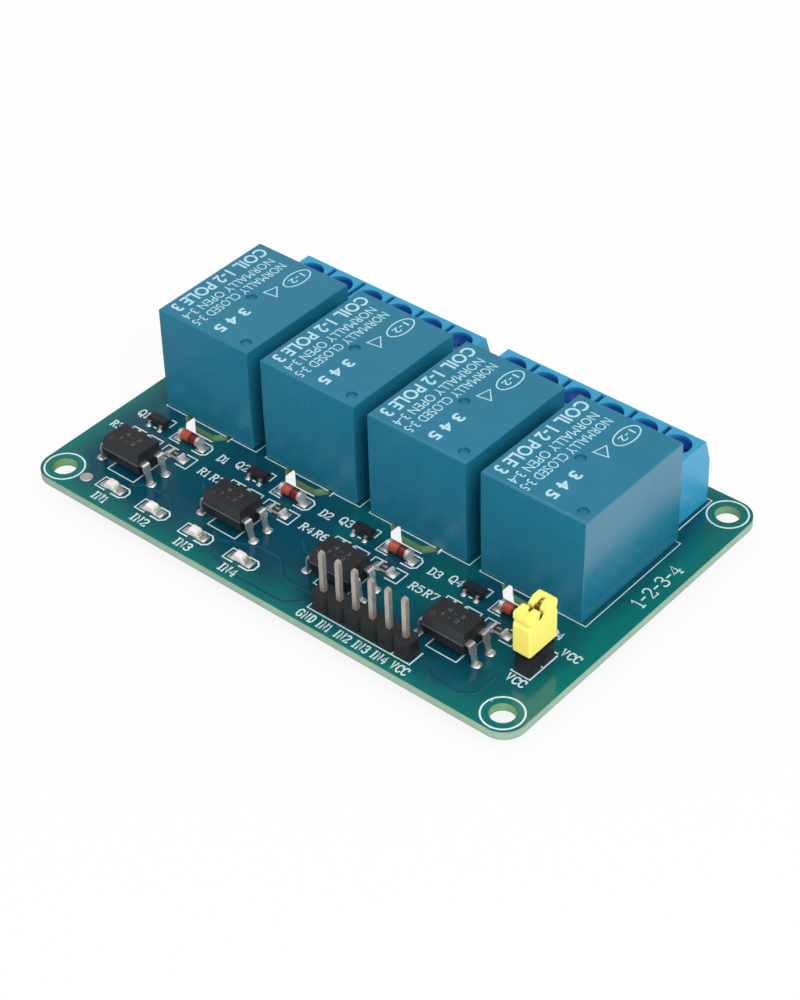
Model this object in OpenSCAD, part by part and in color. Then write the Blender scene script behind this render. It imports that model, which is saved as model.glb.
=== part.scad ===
// Four-channel relay module. A circuit board carries four sealed relays, two
// six-way screw terminal blocks, four optically isolated drive channels, a
// six-pin input header and a two-pin supply jumper.
//
// X runs along the board, Y across it towards the screw terminals, Z up.
// The origin is the middle of the mounting holes, on the board's underside.
// All sizes are in millimetres.

/* [Board] */
// Length of the board along X
board_len = 77.3; // [77:0.1:80]
// Width of the board along Y
board_wid = 50.4; // [50.4:0.1:53]
// Thickness of the board
board_t = 1.2; // [1:0.1:1.6]
// Radius of the board's corners
corner_r = 3; // [1:0.5:3]
// Diameter of the mounting holes
hole_d = 3.2; // [2.7:0.1:3.4]
// Distance between the mounting holes along X
hole_span_x = 71; // [70:0.5:71]
// Distance between the mounting holes along Y
hole_span_y = 44.4; // [44:0.1:44.4]
// Width of the isolation slot round each relay's common terminal
slot_wid = 1.2; // [0.8:0.1:1.4]

/* [Relays] */
// Distance from one relay to the next
relay_pitch = 17.5; // [16.5:0.1:17.6]
// Width of a relay along X
relay_wid = 15.3; // [15:0.1:15.5]
// Length of a relay along Y
relay_len = 19; // [18.8:0.1:19.1]
// Height of a relay above the board
relay_h = 15.2; // [14:0.1:16]
// Rounding of the relay's edges
relay_edge_r = 0.3; // [0.2:0.1:0.8]

/* [Screw terminals] */
// Distance from one wire entry to the next
way_pitch = 5.08; // [5, 5.08]
// Height of a terminal block above the board
block_h = 9.9; // [9.5:0.1:11]
// Diameter of the wells that lead down to the clamp screws
well_d = 3.8; // [3.6:0.1:4]
// Height of a clamp cage above the board, from open to shut
cage_z = 0.95; // [0.95:0.05:1.7]

/* [Pin headers] */
// Distance from one pin to the next
pin_pitch = 2.54; // [2.5, 2.54]
// Side of the square pins
pin_w = 0.64; // [0.6:0.02:0.64]
// Height of the pin tips above the board
pin_top = 8.54; // [8:0.02:9]
// Height of the headers' plastic strips
strip_h = 2.5; // [2:0.1:2.8]

/* [Supply jumper] */
// Height of the jumper cap
cap_h = 6; // [5.8:0.1:6.2]
// Gap under the cap when it is pushed home
cap_gap = 0.55; // [0.3:0.05:0.8]

/* [Drive channels] */
// Length of an optocoupler along X
opto_len = 6.3; // [6.2:0.1:6.6]
// Width of an optocoupler along Y
opto_wid = 4.3; // [4.2:0.1:4.6]
// Height of an optocoupler's body
opto_h = 3.2; // [3.1:0.1:3.5]
// Gap between an optocoupler's body and the board
opto_lift = 1.1; // [0.8:0.1:1.2]

/* [Hidden] */

$fn = 32;
channels = 4;
sides = [-1, 1];
// Lets a cutter pass the face that it cuts
past = 0.1;

// Relays: the middle of their row, and the places of their terminals
relay_row = [-0.37, 4.92];
relay_lift = 0.1;
relay_draft = 0.25;
relay_foot_d = 1.8;
dimple_d = 1.5;
dimple_depth = 0.3;
dimples = [[0, -0.4], [6.05, -7.9]];
common_pin = [0, -6.88];
coil_pins = [[-6, -4.88], [6, -4.88]];
contact_pins = [[-6, 7.32], [6, 7.32]];
coil_pin_size = [0.6, 0.6];
blade_size = [1.1, 0.5];
relay_pin_in = 2;
relay_pin_out = 3.5;
coil_hole_d = 1.1;
blade_hole_d = 1.4;

// Isolation slot: half widths of the land inside it, at its nose and at its arms
land_nose = 1.65;
land_arm = 2.85;
land_nose_y = -10.72;
land_shoulder_y = -9.52;
slot_back_y = -3.4;

// Terminal blocks: the middle of each along X, and the outline of one's end
ways = 6;
block_x = [-17.37, 16.73];
block_front_y = 15.1;
block_back_y = 22.9;
block_nose = 0.6;
block_slope = [1.1, 3.3];
block_heel = [0.2, 2.1];
// The clamp of one way, in heights above the board
screw_y = 19.2;
room_half = 1.95;
room_y = [15.9, 21.7];
room_top = 6.1;
entry_half = 1.75;
entry_z = [1, 5.4];
entry_flare = 0.5;
shoulder_z = 6.6;
shank_hole_d = 2.9;
rib_slot = [0.62, 5.1, 1.8];
rib_slot_y = 16.4;
cage_size = [3.6, 4.6, 4.2];
cage_wall = 0.45;
arm_t = 0.5;
arm_half = 1.1;
arm_y = [16, 21.2];
arm_z = [0.1, 4];
pin_y = 18.7;
terminal_pin_w = 0.9;
terminal_pin_out = 3.5;
terminal_hole_d = 1.45;
screw_d = 2.5;
screw_head = [3.4, 1.2];
screw_slot = [0.7, 0.6];

// Headers
input_pins = 6;
input_header = [14.27, -21.34];
jumper_pins = 2;
jumper_header = [33.2, -13.4];
strip_wid = 2.5;
strip_notch = 0.45;
header_tail = 3;
header_hole_d = 1;
tip_len = 0.35;

// Jumper cap
cap_len = 5.2;
cap_wid = 2.6;
cap_wall = 0.45;
cap_edge_r = 0.2;
lug_h = 1.5;
lug_r = 0.5;
waist_r = 0.5;
waist_z = 4.5;
split_top = [-0.6, 0.55];
split_foot = [-0.7, -0.4];
split_z = 4.7;
window = [0.9, 0.7];
groove = [0.5, 0.6];
hole_roof = 0.45;
sleeve_size = [1.3, 1.5, 3.4];
sleeve_z = 0.4;
sleeve_fit = 0.04;
bridge_t = 0.3;

// Drive channels: each part's place from the middle of its relay
opto_at = [-1.98, -16.68];
opto_draft = [0.12, 0.34];
opto_waist = 1.7;
lead_pitch = 2.54;
lead_t = 0.25;
lead_wid = 0.8;
lead_shoulder = 1.1;
lead_shoulder_z = 1.7;
lead_root = 2.4;
lead_out = 3.85;
lead_foot = 4.3;
lead_toe = 4.75;
transistor_at = [-5.4, -8.5];
transistor_size = [2.9, 1.3, 0.95];
transistor_lift = 0.1;
transistor_draft = [0.1, 0.1];
leg_wid = 0.42;
leg_t = 0.13;
leg_pitch = 0.95;
leg_reach = 1.25;
leg_root = 0.35;
leg_out = 0.25;
leg_splay = 0.1;
diode_at = [0.5, -8.75];
diode_len = 3.5;
diode_d = 1.4;
diode_bore_d = 0.8;
stud_gap = 0.2;
end_cap_d = 1.5;
end_cap_len = 0.5;
base_resistor_at = [0.97, -11.95];
input_resistor_at = [-5.15, -11.95];
resistor_size = [2, 1.25, 0.45];
resistor_end = [0.4, 0.05];
led_x = [-27.56, -20.55, -13.13, -5.54];
led_y = -21.4;
led_size = [2, 1.25, 0.4];
led_nick_r = 0.22;
lens_len = 1.25;
lens_h = 0.7;
lens_slope = 0.2;

// Solder pads on the top side
pad_t = 0.08;
opto_pad = [1.4, 1.4];
opto_pad_x = 4.4;
leg_pad = [0.8, 0.9];
diode_pad = [1.2, 1.4];
diode_pad_x = 2;
chip_pad = [1.2, 1.3];
chip_pad_x = 1.2;

// Solder joints on the underside
joint_h = 1.2;
joint_rim = 0.25;
joint_d = 2.6;
coil_joint_d = 2;
header_joint_d = 1.8;

function relay_x(k) = relay_row[0] + (k - (channels - 1) / 2) * relay_pitch;
function channel_at(k, place) = [relay_x(k) + place[0], place[1]];
function way_x(side, i) = block_x[side] + (i - (ways - 1) / 2) * way_pitch;
function pin_at(i, count) = (i - (count - 1) / 2) * pin_pitch;

// A rectangle with true arcs for corners
module round_rect(size, r) {
    square([size[0] - 2 * r, size[1]], center = true);
    square([size[0], size[1] - 2 * r], center = true);
    for (sx = sides, sy = sides)
        translate([sx * (size[0] / 2 - r), sy * (size[1] / 2 - r)])
            circle(r);
}

// Straight sides up to a tapered point at each end, in X or Y against Z
module tapered_bar_2d(width, low, high, taper) {
    a = width / 2;
    b = width / 3;
    polygon([
        [-a, low + taper], [-b, low], [b, low], [a, low + taper],
        [a, high - taper], [b, high], [-b, high], [-a, high - taper]
    ]);
}

// An outline in Y and Z, pulled out along X about the YZ plane
module along_x(length) {
    rotate([90, 0, 90])
        linear_extrude(length, center = true)
            children();
}

// An outline in X and Z, pulled out along Y about the XZ plane
module along_y(length) {
    rotate([90, 0, 0])
        linear_extrude(length, center = true)
            children();
}

// Outline of a moulded block, widest at its parting line and drafted both ways
module drafted_2d(width, height, waist_z, draft) {
    half = width / 2;
    polygon([
        [-half + draft, 0], [half - draft, 0], [half, waist_z],
        [half - draft, height], [-half + draft, height], [-half, waist_z]
    ]);
}

module moulded_block(size, waist_z, draft) {
    intersection() {
        along_y(size[1])
            drafted_2d(size[0], size[2], waist_z, draft[0]);
        along_x(size[0])
            drafted_2d(size[1], size[2], waist_z, draft[1]);
    }
}

module on_board() {
    translate([0, 0, board_t])
        children();
}

module at_relay(k) {
    translate([relay_x(k), relay_row[1], board_t])
        children();
}

module at_channel(k, place) {
    translate(concat(channel_at(k, place), board_t))
        children();
}

// ---- Board ----

// The land that the slot cuts free, grown outwards by margin
module land_2d(margin) {
    polygon([
        [-land_nose - margin * 0.6, land_nose_y - margin],
        [land_nose + margin * 0.6, land_nose_y - margin],
        [land_arm + margin, land_shoulder_y - margin * 0.4],
        [land_arm + margin, slot_back_y],
        [-land_arm - margin, slot_back_y],
        [-land_arm - margin, land_shoulder_y - margin * 0.4]
    ]);
}

module isolation_slot() {
    difference() {
        land_2d(slot_wid);
        land_2d(0);
    }
    for (s = sides)
        translate([s * (land_arm + slot_wid / 2), slot_back_y])
            circle(slot_wid / 2);
}

module relay_holes() {
    for (p = coil_pins)
        translate(p) circle(d = coil_hole_d);
    for (p = concat([common_pin], contact_pins))
        translate(p) circle(d = blade_hole_d);
}

module circuit_board() {
    color([0.05, 0.33, 0.36])
    difference() {
        linear_extrude(board_t)
            round_rect([board_len, board_wid], corner_r);
        for (sx = sides, sy = sides)
            translate([sx * hole_span_x / 2, sy * hole_span_y / 2, -past])
                cylinder(h = board_t + 2 * past, d = hole_d);
        translate([0, 0, -past])
            linear_extrude(board_t + 2 * past) {
                for (k = [0:channels - 1])
                    translate([relay_x(k), relay_row[1]]) {
                        isolation_slot();
                        relay_holes();
                    }
                for (side = [0, 1], i = [0:ways - 1])
                    translate([way_x(side, i), pin_y])
                        circle(d = terminal_hole_d);
                for (i = [0:input_pins - 1])
                    translate([input_header[0] + pin_at(i, input_pins), input_header[1]])
                        circle(d = header_hole_d);
                for (i = [0:jumper_pins - 1])
                    translate([jumper_header[0], jumper_header[1] + pin_at(i, jumper_pins)])
                        circle(d = header_hole_d);
            }
    }
}

// ---- Relays ----

module relay_pins() {
    for (p = coil_pins)
        translate([p[0], p[1], -relay_pin_out])
            linear_extrude(relay_pin_out + relay_lift + relay_pin_in)
                square(coil_pin_size, center = true);
    for (p = concat([common_pin], contact_pins))
        translate([p[0], p[1], -relay_pin_out])
            linear_extrude(relay_pin_out + relay_lift + relay_pin_in)
                square(blade_size, center = true);
}

// Moulded can, a little longer at its foot than at its top
module relay_can(size, r) {
    foot = size[1] / 2 + relay_draft;
    top = size[1] / 2;
    intersection() {
        linear_extrude(size[2])
            round_rect([size[0], 2 * foot], r);
        along_y(2 * foot)
            translate([0, size[2] / 2 - r])
                round_rect([size[0], size[2] + 2 * r], r);
        along_x(size[0])
            union() {
                polygon([
                    [-foot, 0], [foot, 0], [top, size[2] - r],
                    [top - r, size[2]], [-top + r, size[2]], [-top, size[2] - r]
                ]);
                for (s = sides)
                    translate([s * (top - r), size[2] - r])
                        circle(r);
            }
    }
}

// The relay is a sealed can, so it is solid inside
module relay(k) {
    foot_x = relay_wid / 2 - relay_foot_d / 2 - relay_edge_r;
    foot_y = relay_len / 2 - relay_foot_d / 2 - relay_edge_r;
    color([0.16, 0.45, 0.56])
    at_relay(k)
        difference() {
            union() {
                translate([0, 0, relay_lift])
                    relay_can([relay_wid, relay_len, relay_h - relay_lift], relay_edge_r);
                for (sx = sides, sy = sides)
                    translate([sx * foot_x, sy * foot_y, 0])
                        cylinder(h = relay_lift + past, d = relay_foot_d);
            }
            for (p = dimples)
                translate([p[0], p[1], relay_h - dimple_depth])
                    cylinder(h = dimple_depth + past, d = dimple_d);
            relay_pins();
        }
}

module relay_pin_set(k) {
    color([0.75, 0.74, 0.72])
    at_relay(k)
        relay_pins();
}

module relay_1() { relay(0); }
module relay_2() { relay(1); }
module relay_3() { relay(2); }
module relay_4() { relay(3); }
module relay_pins_1() { relay_pin_set(0); }
module relay_pins_2() { relay_pin_set(1); }
module relay_pins_3() { relay_pin_set(2); }
module relay_pins_4() { relay_pin_set(3); }

// ---- Screw terminals ----

module block_outline() {
    polygon([
        [block_front_y, 0],
        [block_front_y, block_h - block_nose],
        [block_front_y + block_nose, block_h],
        [block_back_y - block_slope[0], block_h],
        [block_back_y - block_heel[0] / 2, block_h - block_slope[1]],
        [block_back_y, block_heel[1]],
        [block_back_y - block_heel[0], 0]
    ]);
}

module entry_outline() {
    inner_y = room_y[1] - past;
    mouth_y = block_back_y - entry_flare;
    polygon([
        [inner_y, entry_z[0]],
        [mouth_y, entry_z[0]],
        [block_back_y + past, entry_z[0] - entry_flare],
        [block_back_y + past, entry_z[1] + entry_flare],
        [mouth_y, entry_z[1]],
        [inner_y, entry_z[1]]
    ]);
}

// The hollow of one way: clamp room, wire entry and screw well
module way_hollow() {
    translate([-room_half, room_y[0], -past])
        cube([2 * room_half, room_y[1] - room_y[0], room_top + past]);
    along_x(2 * entry_half)
        entry_outline();
    translate([0, screw_y, room_top - past])
        cylinder(h = shoulder_z - room_top + 2 * past, d = shank_hole_d);
    translate([0, screw_y, shoulder_z])
        cylinder(h = block_h - shoulder_z + past, d = well_d);
}

module terminal_housing(side) {
    color([0.27, 0.65, 0.80])
    on_board()
        difference() {
            translate([block_x[side], 0, 0])
                along_x(ways * way_pitch)
                    block_outline();
            for (i = [0:ways - 1])
                translate([way_x(side, i), 0, 0])
                    way_hollow();
            for (i = [0:ways - 2])
                translate([
                    way_x(side, i) + (way_pitch - rib_slot[0]) / 2,
                    rib_slot_y,
                    block_h - rib_slot[2]
                ])
                    cube([rib_slot[0], rib_slot[1], rib_slot[2] + past]);
        }
}

// Slotted clamp screw. Its tip bears on the contact's upper arm.
module clamp_screw() {
    tip_z = arm_z[1] + arm_t;
    difference() {
        union() {
            translate([0, 0, tip_z])
                cylinder(h = shoulder_z - tip_z + past, d = screw_d);
            translate([0, 0, shoulder_z])
                cylinder(h = screw_head[1], d = screw_head[0]);
        }
        translate([-screw_head[0], -screw_slot[0] / 2, shoulder_z + screw_head[1] - screw_slot[1]])
            cube([2 * screw_head[0], screw_slot[0], screw_slot[1] + past]);
    }
}

module clamp_screws(side) {
    color([0.80, 0.80, 0.78])
    on_board()
        for (i = [0:ways - 1])
            translate([way_x(side, i), screw_y, 0])
                clamp_screw();
}

// Rising cage: a rectangular loop of strip, tapped for the screw
module clamp_cage() {
    difference() {
        along_y(cage_size[1])
            difference() {
                translate([-cage_size[0] / 2, 0])
                    square([cage_size[0], cage_size[2]]);
                translate([-cage_size[0] / 2 + cage_wall, cage_wall])
                    square([cage_size[0] - 2 * cage_wall, cage_size[2] - 2 * cage_wall]);
            }
        translate([0, 0, cage_size[2] / 2])
            cylinder(h = cage_size[2], d = screw_d);
    }
}

module clamp_cages(side) {
    color([0.78, 0.78, 0.80])
    on_board()
        for (i = [0:ways - 1])
            translate([way_x(side, i), screw_y, cage_z])
                clamp_cage();
}

// Contact strip folded round the cage, with its pin through the board
module terminal_contact() {
    along_x(2 * arm_half)
        polygon([
            [arm_y[0], arm_z[0]],
            [pin_y + terminal_pin_w, arm_z[0]],
            [pin_y + terminal_pin_w, arm_z[0] + arm_t],
            [arm_y[0] + arm_t, arm_z[0] + arm_t],
            [arm_y[0] + arm_t, arm_z[1]],
            [arm_y[1], arm_z[1]],
            [arm_y[1], arm_z[1] + arm_t],
            [arm_y[0], arm_z[1] + arm_t]
        ]);
    translate([0, pin_y, -terminal_pin_out])
        linear_extrude(terminal_pin_out + arm_z[0] + arm_t)
            square(terminal_pin_w, center = true);
}

module terminal_contacts(side) {
    color([0.80, 0.76, 0.60])
    on_board()
        for (i = [0:ways - 1])
            translate([way_x(side, i), 0, 0])
                terminal_contact();
}

module terminal_housing_left() { terminal_housing(0); }
module terminal_housing_right() { terminal_housing(1); }
module clamp_screws_left() { clamp_screws(0); }
module clamp_screws_right() { clamp_screws(1); }
module clamp_cages_left() { clamp_cages(0); }
module clamp_cages_right() { clamp_cages(1); }
module terminal_contacts_left() { terminal_contacts(0); }
module terminal_contacts_right() { terminal_contacts(1); }

// ---- Optocouplers ----

// One lead as a bent strip: root in the body, drop, and a foot on the board
module lead_path() {
    root_z = opto_lift + opto_waist;
    polygon([
        [lead_root, root_z - lead_t / 2],
        [lead_out - lead_t, root_z - lead_t / 2],
        [lead_foot - lead_t, pad_t],
        [lead_toe, pad_t],
        [lead_toe, pad_t + lead_t],
        [lead_foot, pad_t + lead_t],
        [lead_out, root_z],
        [lead_out - lead_t, root_z + lead_t / 2],
        [lead_root, root_z + lead_t / 2]
    ]);
}

module opto_lead() {
    along_y(lead_wid)
        lead_path();
    intersection() {
        along_y(lead_shoulder)
            lead_path();
        translate([0, -lead_shoulder, lead_shoulder_z])
            cube([lead_toe, 2 * lead_shoulder, opto_h]);
    }
}

module opto_leads() {
    for (turn = [0, 180])
        rotate([0, 0, turn])
            for (s = sides)
                translate([0, s * lead_pitch / 2, 0])
                    opto_lead();
}

module optocoupler(k) {
    color([0.12, 0.13, 0.14])
    at_channel(k, opto_at)
        difference() {
            translate([0, 0, opto_lift])
                moulded_block([opto_len, opto_wid, opto_h], opto_waist, opto_draft);
            opto_leads();
        }
}

module optocoupler_leads(k) {
    color([0.82, 0.82, 0.82])
    at_channel(k, opto_at)
        opto_leads();
}

module optocoupler_1() { optocoupler(0); }
module optocoupler_2() { optocoupler(1); }
module optocoupler_3() { optocoupler(2); }
module optocoupler_4() { optocoupler(3); }
module optocoupler_leads_1() { optocoupler_leads(0); }
module optocoupler_leads_2() { optocoupler_leads(1); }
module optocoupler_leads_3() { optocoupler_leads(2); }
module optocoupler_leads_4() { optocoupler_leads(3); }

// ---- Transistors ----

module leg() {
    root_z = transistor_lift + pad_t + transistor_size[2] / 2;
    bend_y = transistor_size[1] / 2 + leg_out;
    along_x(leg_wid)
        polygon([
            [leg_root, root_z],
            [bend_y, root_z],
            [bend_y + leg_splay, pad_t + leg_t],
            [leg_reach, pad_t + leg_t],
            [leg_reach, pad_t],
            [bend_y + leg_splay - leg_t, pad_t],
            [bend_y - leg_t, root_z - leg_t],
            [leg_root, root_z - leg_t]
        ]);
}

// Two legs on the header side and one on the relay side
module transistor_leg_set() {
    leg();
    for (s = sides)
        translate([s * leg_pitch, 0, 0])
            mirror([0, 1, 0])
                leg();
}

module transistor(k) {
    color([0.13, 0.13, 0.14])
    at_channel(k, transistor_at)
        difference() {
            translate([0, 0, transistor_lift + pad_t])
                moulded_block(transistor_size, transistor_size[2] / 2, transistor_draft);
            transistor_leg_set();
        }
}

module transistor_legs() {
    color([0.80, 0.80, 0.80])
    for (k = [0:channels - 1])
        at_channel(k, transistor_at)
            transistor_leg_set();
}

module transistor_1() { transistor(0); }
module transistor_2() { transistor(1); }
module transistor_3() { transistor(2); }
module transistor_4() { transistor(3); }

// ---- Diodes ----

module at_diode(k) {
    at_channel(k, diode_at)
        translate([0, 0, pad_t + end_cap_d / 2])
            rotate([0, 90, 0])
                children();
}

// Glass tube between the end caps
module diode(k) {
    tube = diode_len - 2 * end_cap_len;
    color([0.80, 0.30, 0.22])
    at_diode(k)
        difference() {
            cylinder(h = tube, d = diode_d, center = true);
            cylinder(h = tube + past, d = diode_bore_d, center = true);
        }
}

// Metal caps, each with a stud that reaches the middle of the tube
module diode_end_caps() {
    color([0.78, 0.78, 0.76])
    for (k = [0:channels - 1])
        at_diode(k)
            for (turn = [0, 180])
                rotate([turn, 0, 0]) {
                    translate([0, 0, diode_len / 2 - end_cap_len])
                        cylinder(h = end_cap_len, d = end_cap_d);
                    translate([0, 0, stud_gap / 2])
                        cylinder(h = diode_len / 2 - end_cap_len, d = diode_bore_d);
                }
}

module diode_1() { diode(0); }
module diode_2() { diode(1); }
module diode_3() { diode(2); }
module diode_4() { diode(3); }

// ---- Chip resistors ----

// A ceramic chip whose two metal ends stand a little proud of it
module chip_resistor() {
    len = resistor_size[0];
    lip = resistor_end[1];
    along_x(len - 2 * resistor_end[0])
        translate([0, pad_t + lip + resistor_size[2] / 2])
            square([resistor_size[1] - 2 * lip, resistor_size[2]], center = true);
    for (s = sides)
        translate([s * (len - resistor_end[0]) / 2, 0, 0])
            along_x(resistor_end[0])
                translate([0, pad_t + lip + resistor_size[2] / 2])
                    round_rect([resistor_size[1], resistor_size[2] + 2 * lip], 2 * lip);
}

module input_resistor(k) {
    color([0.45, 0.44, 0.42])
    at_channel(k, input_resistor_at)
        chip_resistor();
}

module base_resistor(k) {
    color([0.45, 0.44, 0.42])
    at_channel(k, base_resistor_at)
        chip_resistor();
}

module input_resistor_1() { input_resistor(0); }
module input_resistor_2() { input_resistor(1); }
module input_resistor_3() { input_resistor(2); }
module input_resistor_4() { input_resistor(3); }
module base_resistor_1() { base_resistor(0); }
module base_resistor_2() { base_resistor(1); }
module base_resistor_3() { base_resistor(2); }
module base_resistor_4() { base_resistor(3); }

// ---- Indicator lamps ----

module led(k) {
    color([0.85, 0.87, 0.80])
    translate([led_x[k], led_y, board_t + pad_t])
        difference() {
            translate([-led_size[0] / 2, -led_size[1] / 2, 0])
                cube(led_size);
            for (s = sides)
                translate([s * led_size[0] / 2, 0, -past])
                    cylinder(h = led_size[2] + 2 * past, r = led_nick_r);
        }
}

// Clear lens with sloping ends
module lens() {
    translate([0, 0, pad_t + led_size[2]])
        along_y(led_size[1])
            polygon([
                [-lens_len / 2, 0],
                [lens_len / 2, 0],
                [lens_len / 2 - lens_slope, lens_h],
                [-lens_len / 2 + lens_slope, lens_h]
            ]);
}

module led_lenses() {
    color([0.95, 0.96, 0.92])
    for (x = led_x)
        translate([x, led_y, board_t])
            lens();
}

module led_1() { led(0); }
module led_2() { led(1); }
module led_3() { led(2); }
module led_4() { led(3); }

// ---- Pin headers ----

// One pitch of strip, with its corners nicked so that it can be snapped off
module strip_link() {
    a = pin_pitch / 2;
    b = strip_wid / 2;
    c = strip_notch;
    polygon([
        [-a, -b + c], [-a + c, -b], [a - c, -b], [a, -b + c],
        [a, b - c], [a - c, b], [-a + c, b], [-a, b - c]
    ]);
}

module header_strip(count) {
    on_board()
        linear_extrude(strip_h)
            difference() {
                for (i = [0:count - 1])
                    translate([pin_at(i, count), 0])
                        strip_link();
                for (i = [0:count - 1])
                    translate([pin_at(i, count), 0])
                        square(pin_w, center = true);
            }
}

module header_pin() {
    on_board()
        intersection() {
            along_x(pin_w)
                tapered_bar_2d(pin_w, -header_tail, pin_top, tip_len);
            along_y(pin_w)
                tapered_bar_2d(pin_w, -header_tail, pin_top, tip_len);
        }
}

module header_pins(count) {
    for (i = [0:count - 1])
        translate([pin_at(i, count), 0, 0])
            header_pin();
}

module input_header_strip() {
    color([0.12, 0.12, 0.13])
    translate(input_header)
        header_strip(input_pins);
}

module input_header_pins() {
    color([0.80, 0.78, 0.72])
    translate(input_header)
        header_pins(input_pins);
}

module jumper_header_strip() {
    color([0.12, 0.12, 0.13])
    translate(jumper_header)
        rotate([0, 0, 90])
            header_strip(jumper_pins);
}

module jumper_header_pins() {
    color([0.80, 0.78, 0.72])
    translate(jumper_header)
        rotate([0, 0, 90])
            header_pins(jumper_pins);
}

// ---- Supply jumper ----

module at_cap() {
    translate([jumper_header[0], jumper_header[1], board_t + strip_h + cap_gap])
        children();
}

// Side view of the cap: straight skirt, waist, and two finger lugs with a split between
module cap_outline() {
    difference() {
        union() {
            translate([-cap_len / 2, 0])
                square([cap_len, cap_h - lug_h / 2]);
            translate([0, cap_h - lug_h / 2])
                round_rect([cap_len, lug_h], lug_r);
        }
        for (s = sides)
            translate([s * (cap_len / 2 + waist_r / 2), waist_z])
                circle(waist_r);
        polygon([
            [split_top[0], cap_h + past], [split_foot[0], split_z],
            [split_foot[1], split_z], [split_top[1], cap_h + past]
        ]);
    }
}

// The room that the contact clip fills, open at the skirt
module clip_room() {
    translate([-sleeve_size[0] / 2, -cap_len / 2 + cap_wall, -past])
        cube([sleeve_size[0], cap_len - 2 * cap_wall, sleeve_z + sleeve_size[2] + past]);
}

module jumper_cap() {
    color([0.95, 0.90, 0.25])
    at_cap()
        difference() {
            intersection() {
                along_x(cap_wid)
                    cap_outline();
                linear_extrude(cap_h)
                    round_rect([cap_wid, cap_len], cap_edge_r);
            }
            clip_room();
            translate([-groove[0] / 2, -cap_len, cap_h - groove[1]])
                cube([groove[0], 2 * cap_len, cap_h]);
            linear_extrude(cap_h)
                square(window, center = true);
            for (i = [0:jumper_pins - 1])
                translate([0, pin_at(i, jumper_pins), 0])
                    linear_extrude(cap_h - hole_roof)
                        square(pin_w + 4 * sleeve_fit, center = true);
        }
}

// Two sleeves that grip the pins, joined by a bridge
module jumper_contact() {
    grip = pin_w + 2 * sleeve_fit;
    color([0.80, 0.68, 0.35])
    at_cap()
        translate([0, 0, sleeve_z])
            difference() {
                union() {
                    for (i = [0:jumper_pins - 1])
                        translate([0, pin_at(i, jumper_pins), 0])
                            linear_extrude(sleeve_size[2])
                                square([sleeve_size[0], sleeve_size[1]], center = true);
                    translate([-sleeve_size[0] / 2, -pin_pitch / 2, 0])
                        cube([bridge_t, pin_pitch, sleeve_size[2]]);
                }
                for (i = [0:jumper_pins - 1])
                    translate([0, pin_at(i, jumper_pins), -past])
                        linear_extrude(sleeve_size[2] + 2 * past)
                            square(grip, center = true);
            }
}

// ---- Solder ----

// A fillet of solder round a pin on the underside
module solder_joint(pad_d, pin_size) {
    rotate([180, 0, 0])
        difference() {
            cylinder(h = joint_h, d1 = pad_d, d2 = pin_size[0] + 2 * joint_rim);
            translate([0, 0, -past])
                linear_extrude(joint_h + 2 * past)
                    square(pin_size, center = true);
        }
}

module solder_joints() {
    color([0.72, 0.73, 0.74]) {
        for (k = [0:channels - 1])
            translate([relay_x(k), relay_row[1], 0]) {
                for (p = coil_pins)
                    translate(p) solder_joint(coil_joint_d, coil_pin_size);
                for (p = concat([common_pin], contact_pins))
                    translate(p) solder_joint(joint_d, blade_size);
            }
        for (side = [0, 1], i = [0:ways - 1])
            translate([way_x(side, i), pin_y, 0])
                solder_joint(joint_d, [terminal_pin_w, terminal_pin_w]);
        for (i = [0:input_pins - 1])
            translate([input_header[0] + pin_at(i, input_pins), input_header[1], 0])
                solder_joint(header_joint_d, [pin_w, pin_w]);
        for (i = [0:jumper_pins - 1])
            translate([jumper_header[0], jumper_header[1] + pin_at(i, jumper_pins), 0])
                solder_joint(header_joint_d, [pin_w, pin_w]);
    }
}

module pad(size) {
    linear_extrude(pad_t)
        square(size, center = true);
}

module pad_pair(spread, size) {
    for (s = sides)
        translate([s * spread, 0, 0])
            pad(size);
}

// Flat solder under the parts that sit on the board
module solder_pads() {
    color([0.72, 0.73, 0.74]) {
        for (k = [0:channels - 1]) {
            at_channel(k, opto_at)
                for (s = sides)
                    translate([0, s * lead_pitch / 2, 0])
                        pad_pair(opto_pad_x, opto_pad);
            at_channel(k, transistor_at) {
                translate([0, leg_reach, 0])
                    pad(leg_pad);
                translate([0, -leg_reach, 0])
                    pad_pair(leg_pitch, leg_pad);
            }
            at_channel(k, diode_at)
                pad_pair(diode_pad_x, diode_pad);
            for (place = [base_resistor_at, input_resistor_at])
                at_channel(k, place)
                    pad_pair(chip_pad_x, chip_pad);
        }
        for (x = led_x)
            translate([x, led_y, board_t])
                pad_pair(chip_pad_x, chip_pad);
    }
}

circuit_board();
relay_1();
relay_2();
relay_3();
relay_4();
relay_pins_1();
relay_pins_2();
relay_pins_3();
relay_pins_4();
terminal_housing_left();
terminal_housing_right();
clamp_screws_left();
clamp_screws_right();
clamp_cages_left();
clamp_cages_right();
terminal_contacts_left();
terminal_contacts_right();
optocoupler_1();
optocoupler_2();
optocoupler_3();
optocoupler_4();
optocoupler_leads_1();
optocoupler_leads_2();
optocoupler_leads_3();
optocoupler_leads_4();
transistor_1();
transistor_2();
transistor_3();
transistor_4();
transistor_legs();
diode_1();
diode_2();
diode_3();
diode_4();
diode_end_caps();
input_resistor_1();
input_resistor_2();
input_resistor_3();
input_resistor_4();
base_resistor_1();
base_resistor_2();
base_resistor_3();
base_resistor_4();
led_1();
led_2();
led_3();
led_4();
led_lenses();
input_header_strip();
input_header_pins();
jumper_header_strip();
jumper_header_pins();
jumper_cap();
jumper_contact();
solder_joints();
solder_pads();
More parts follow.
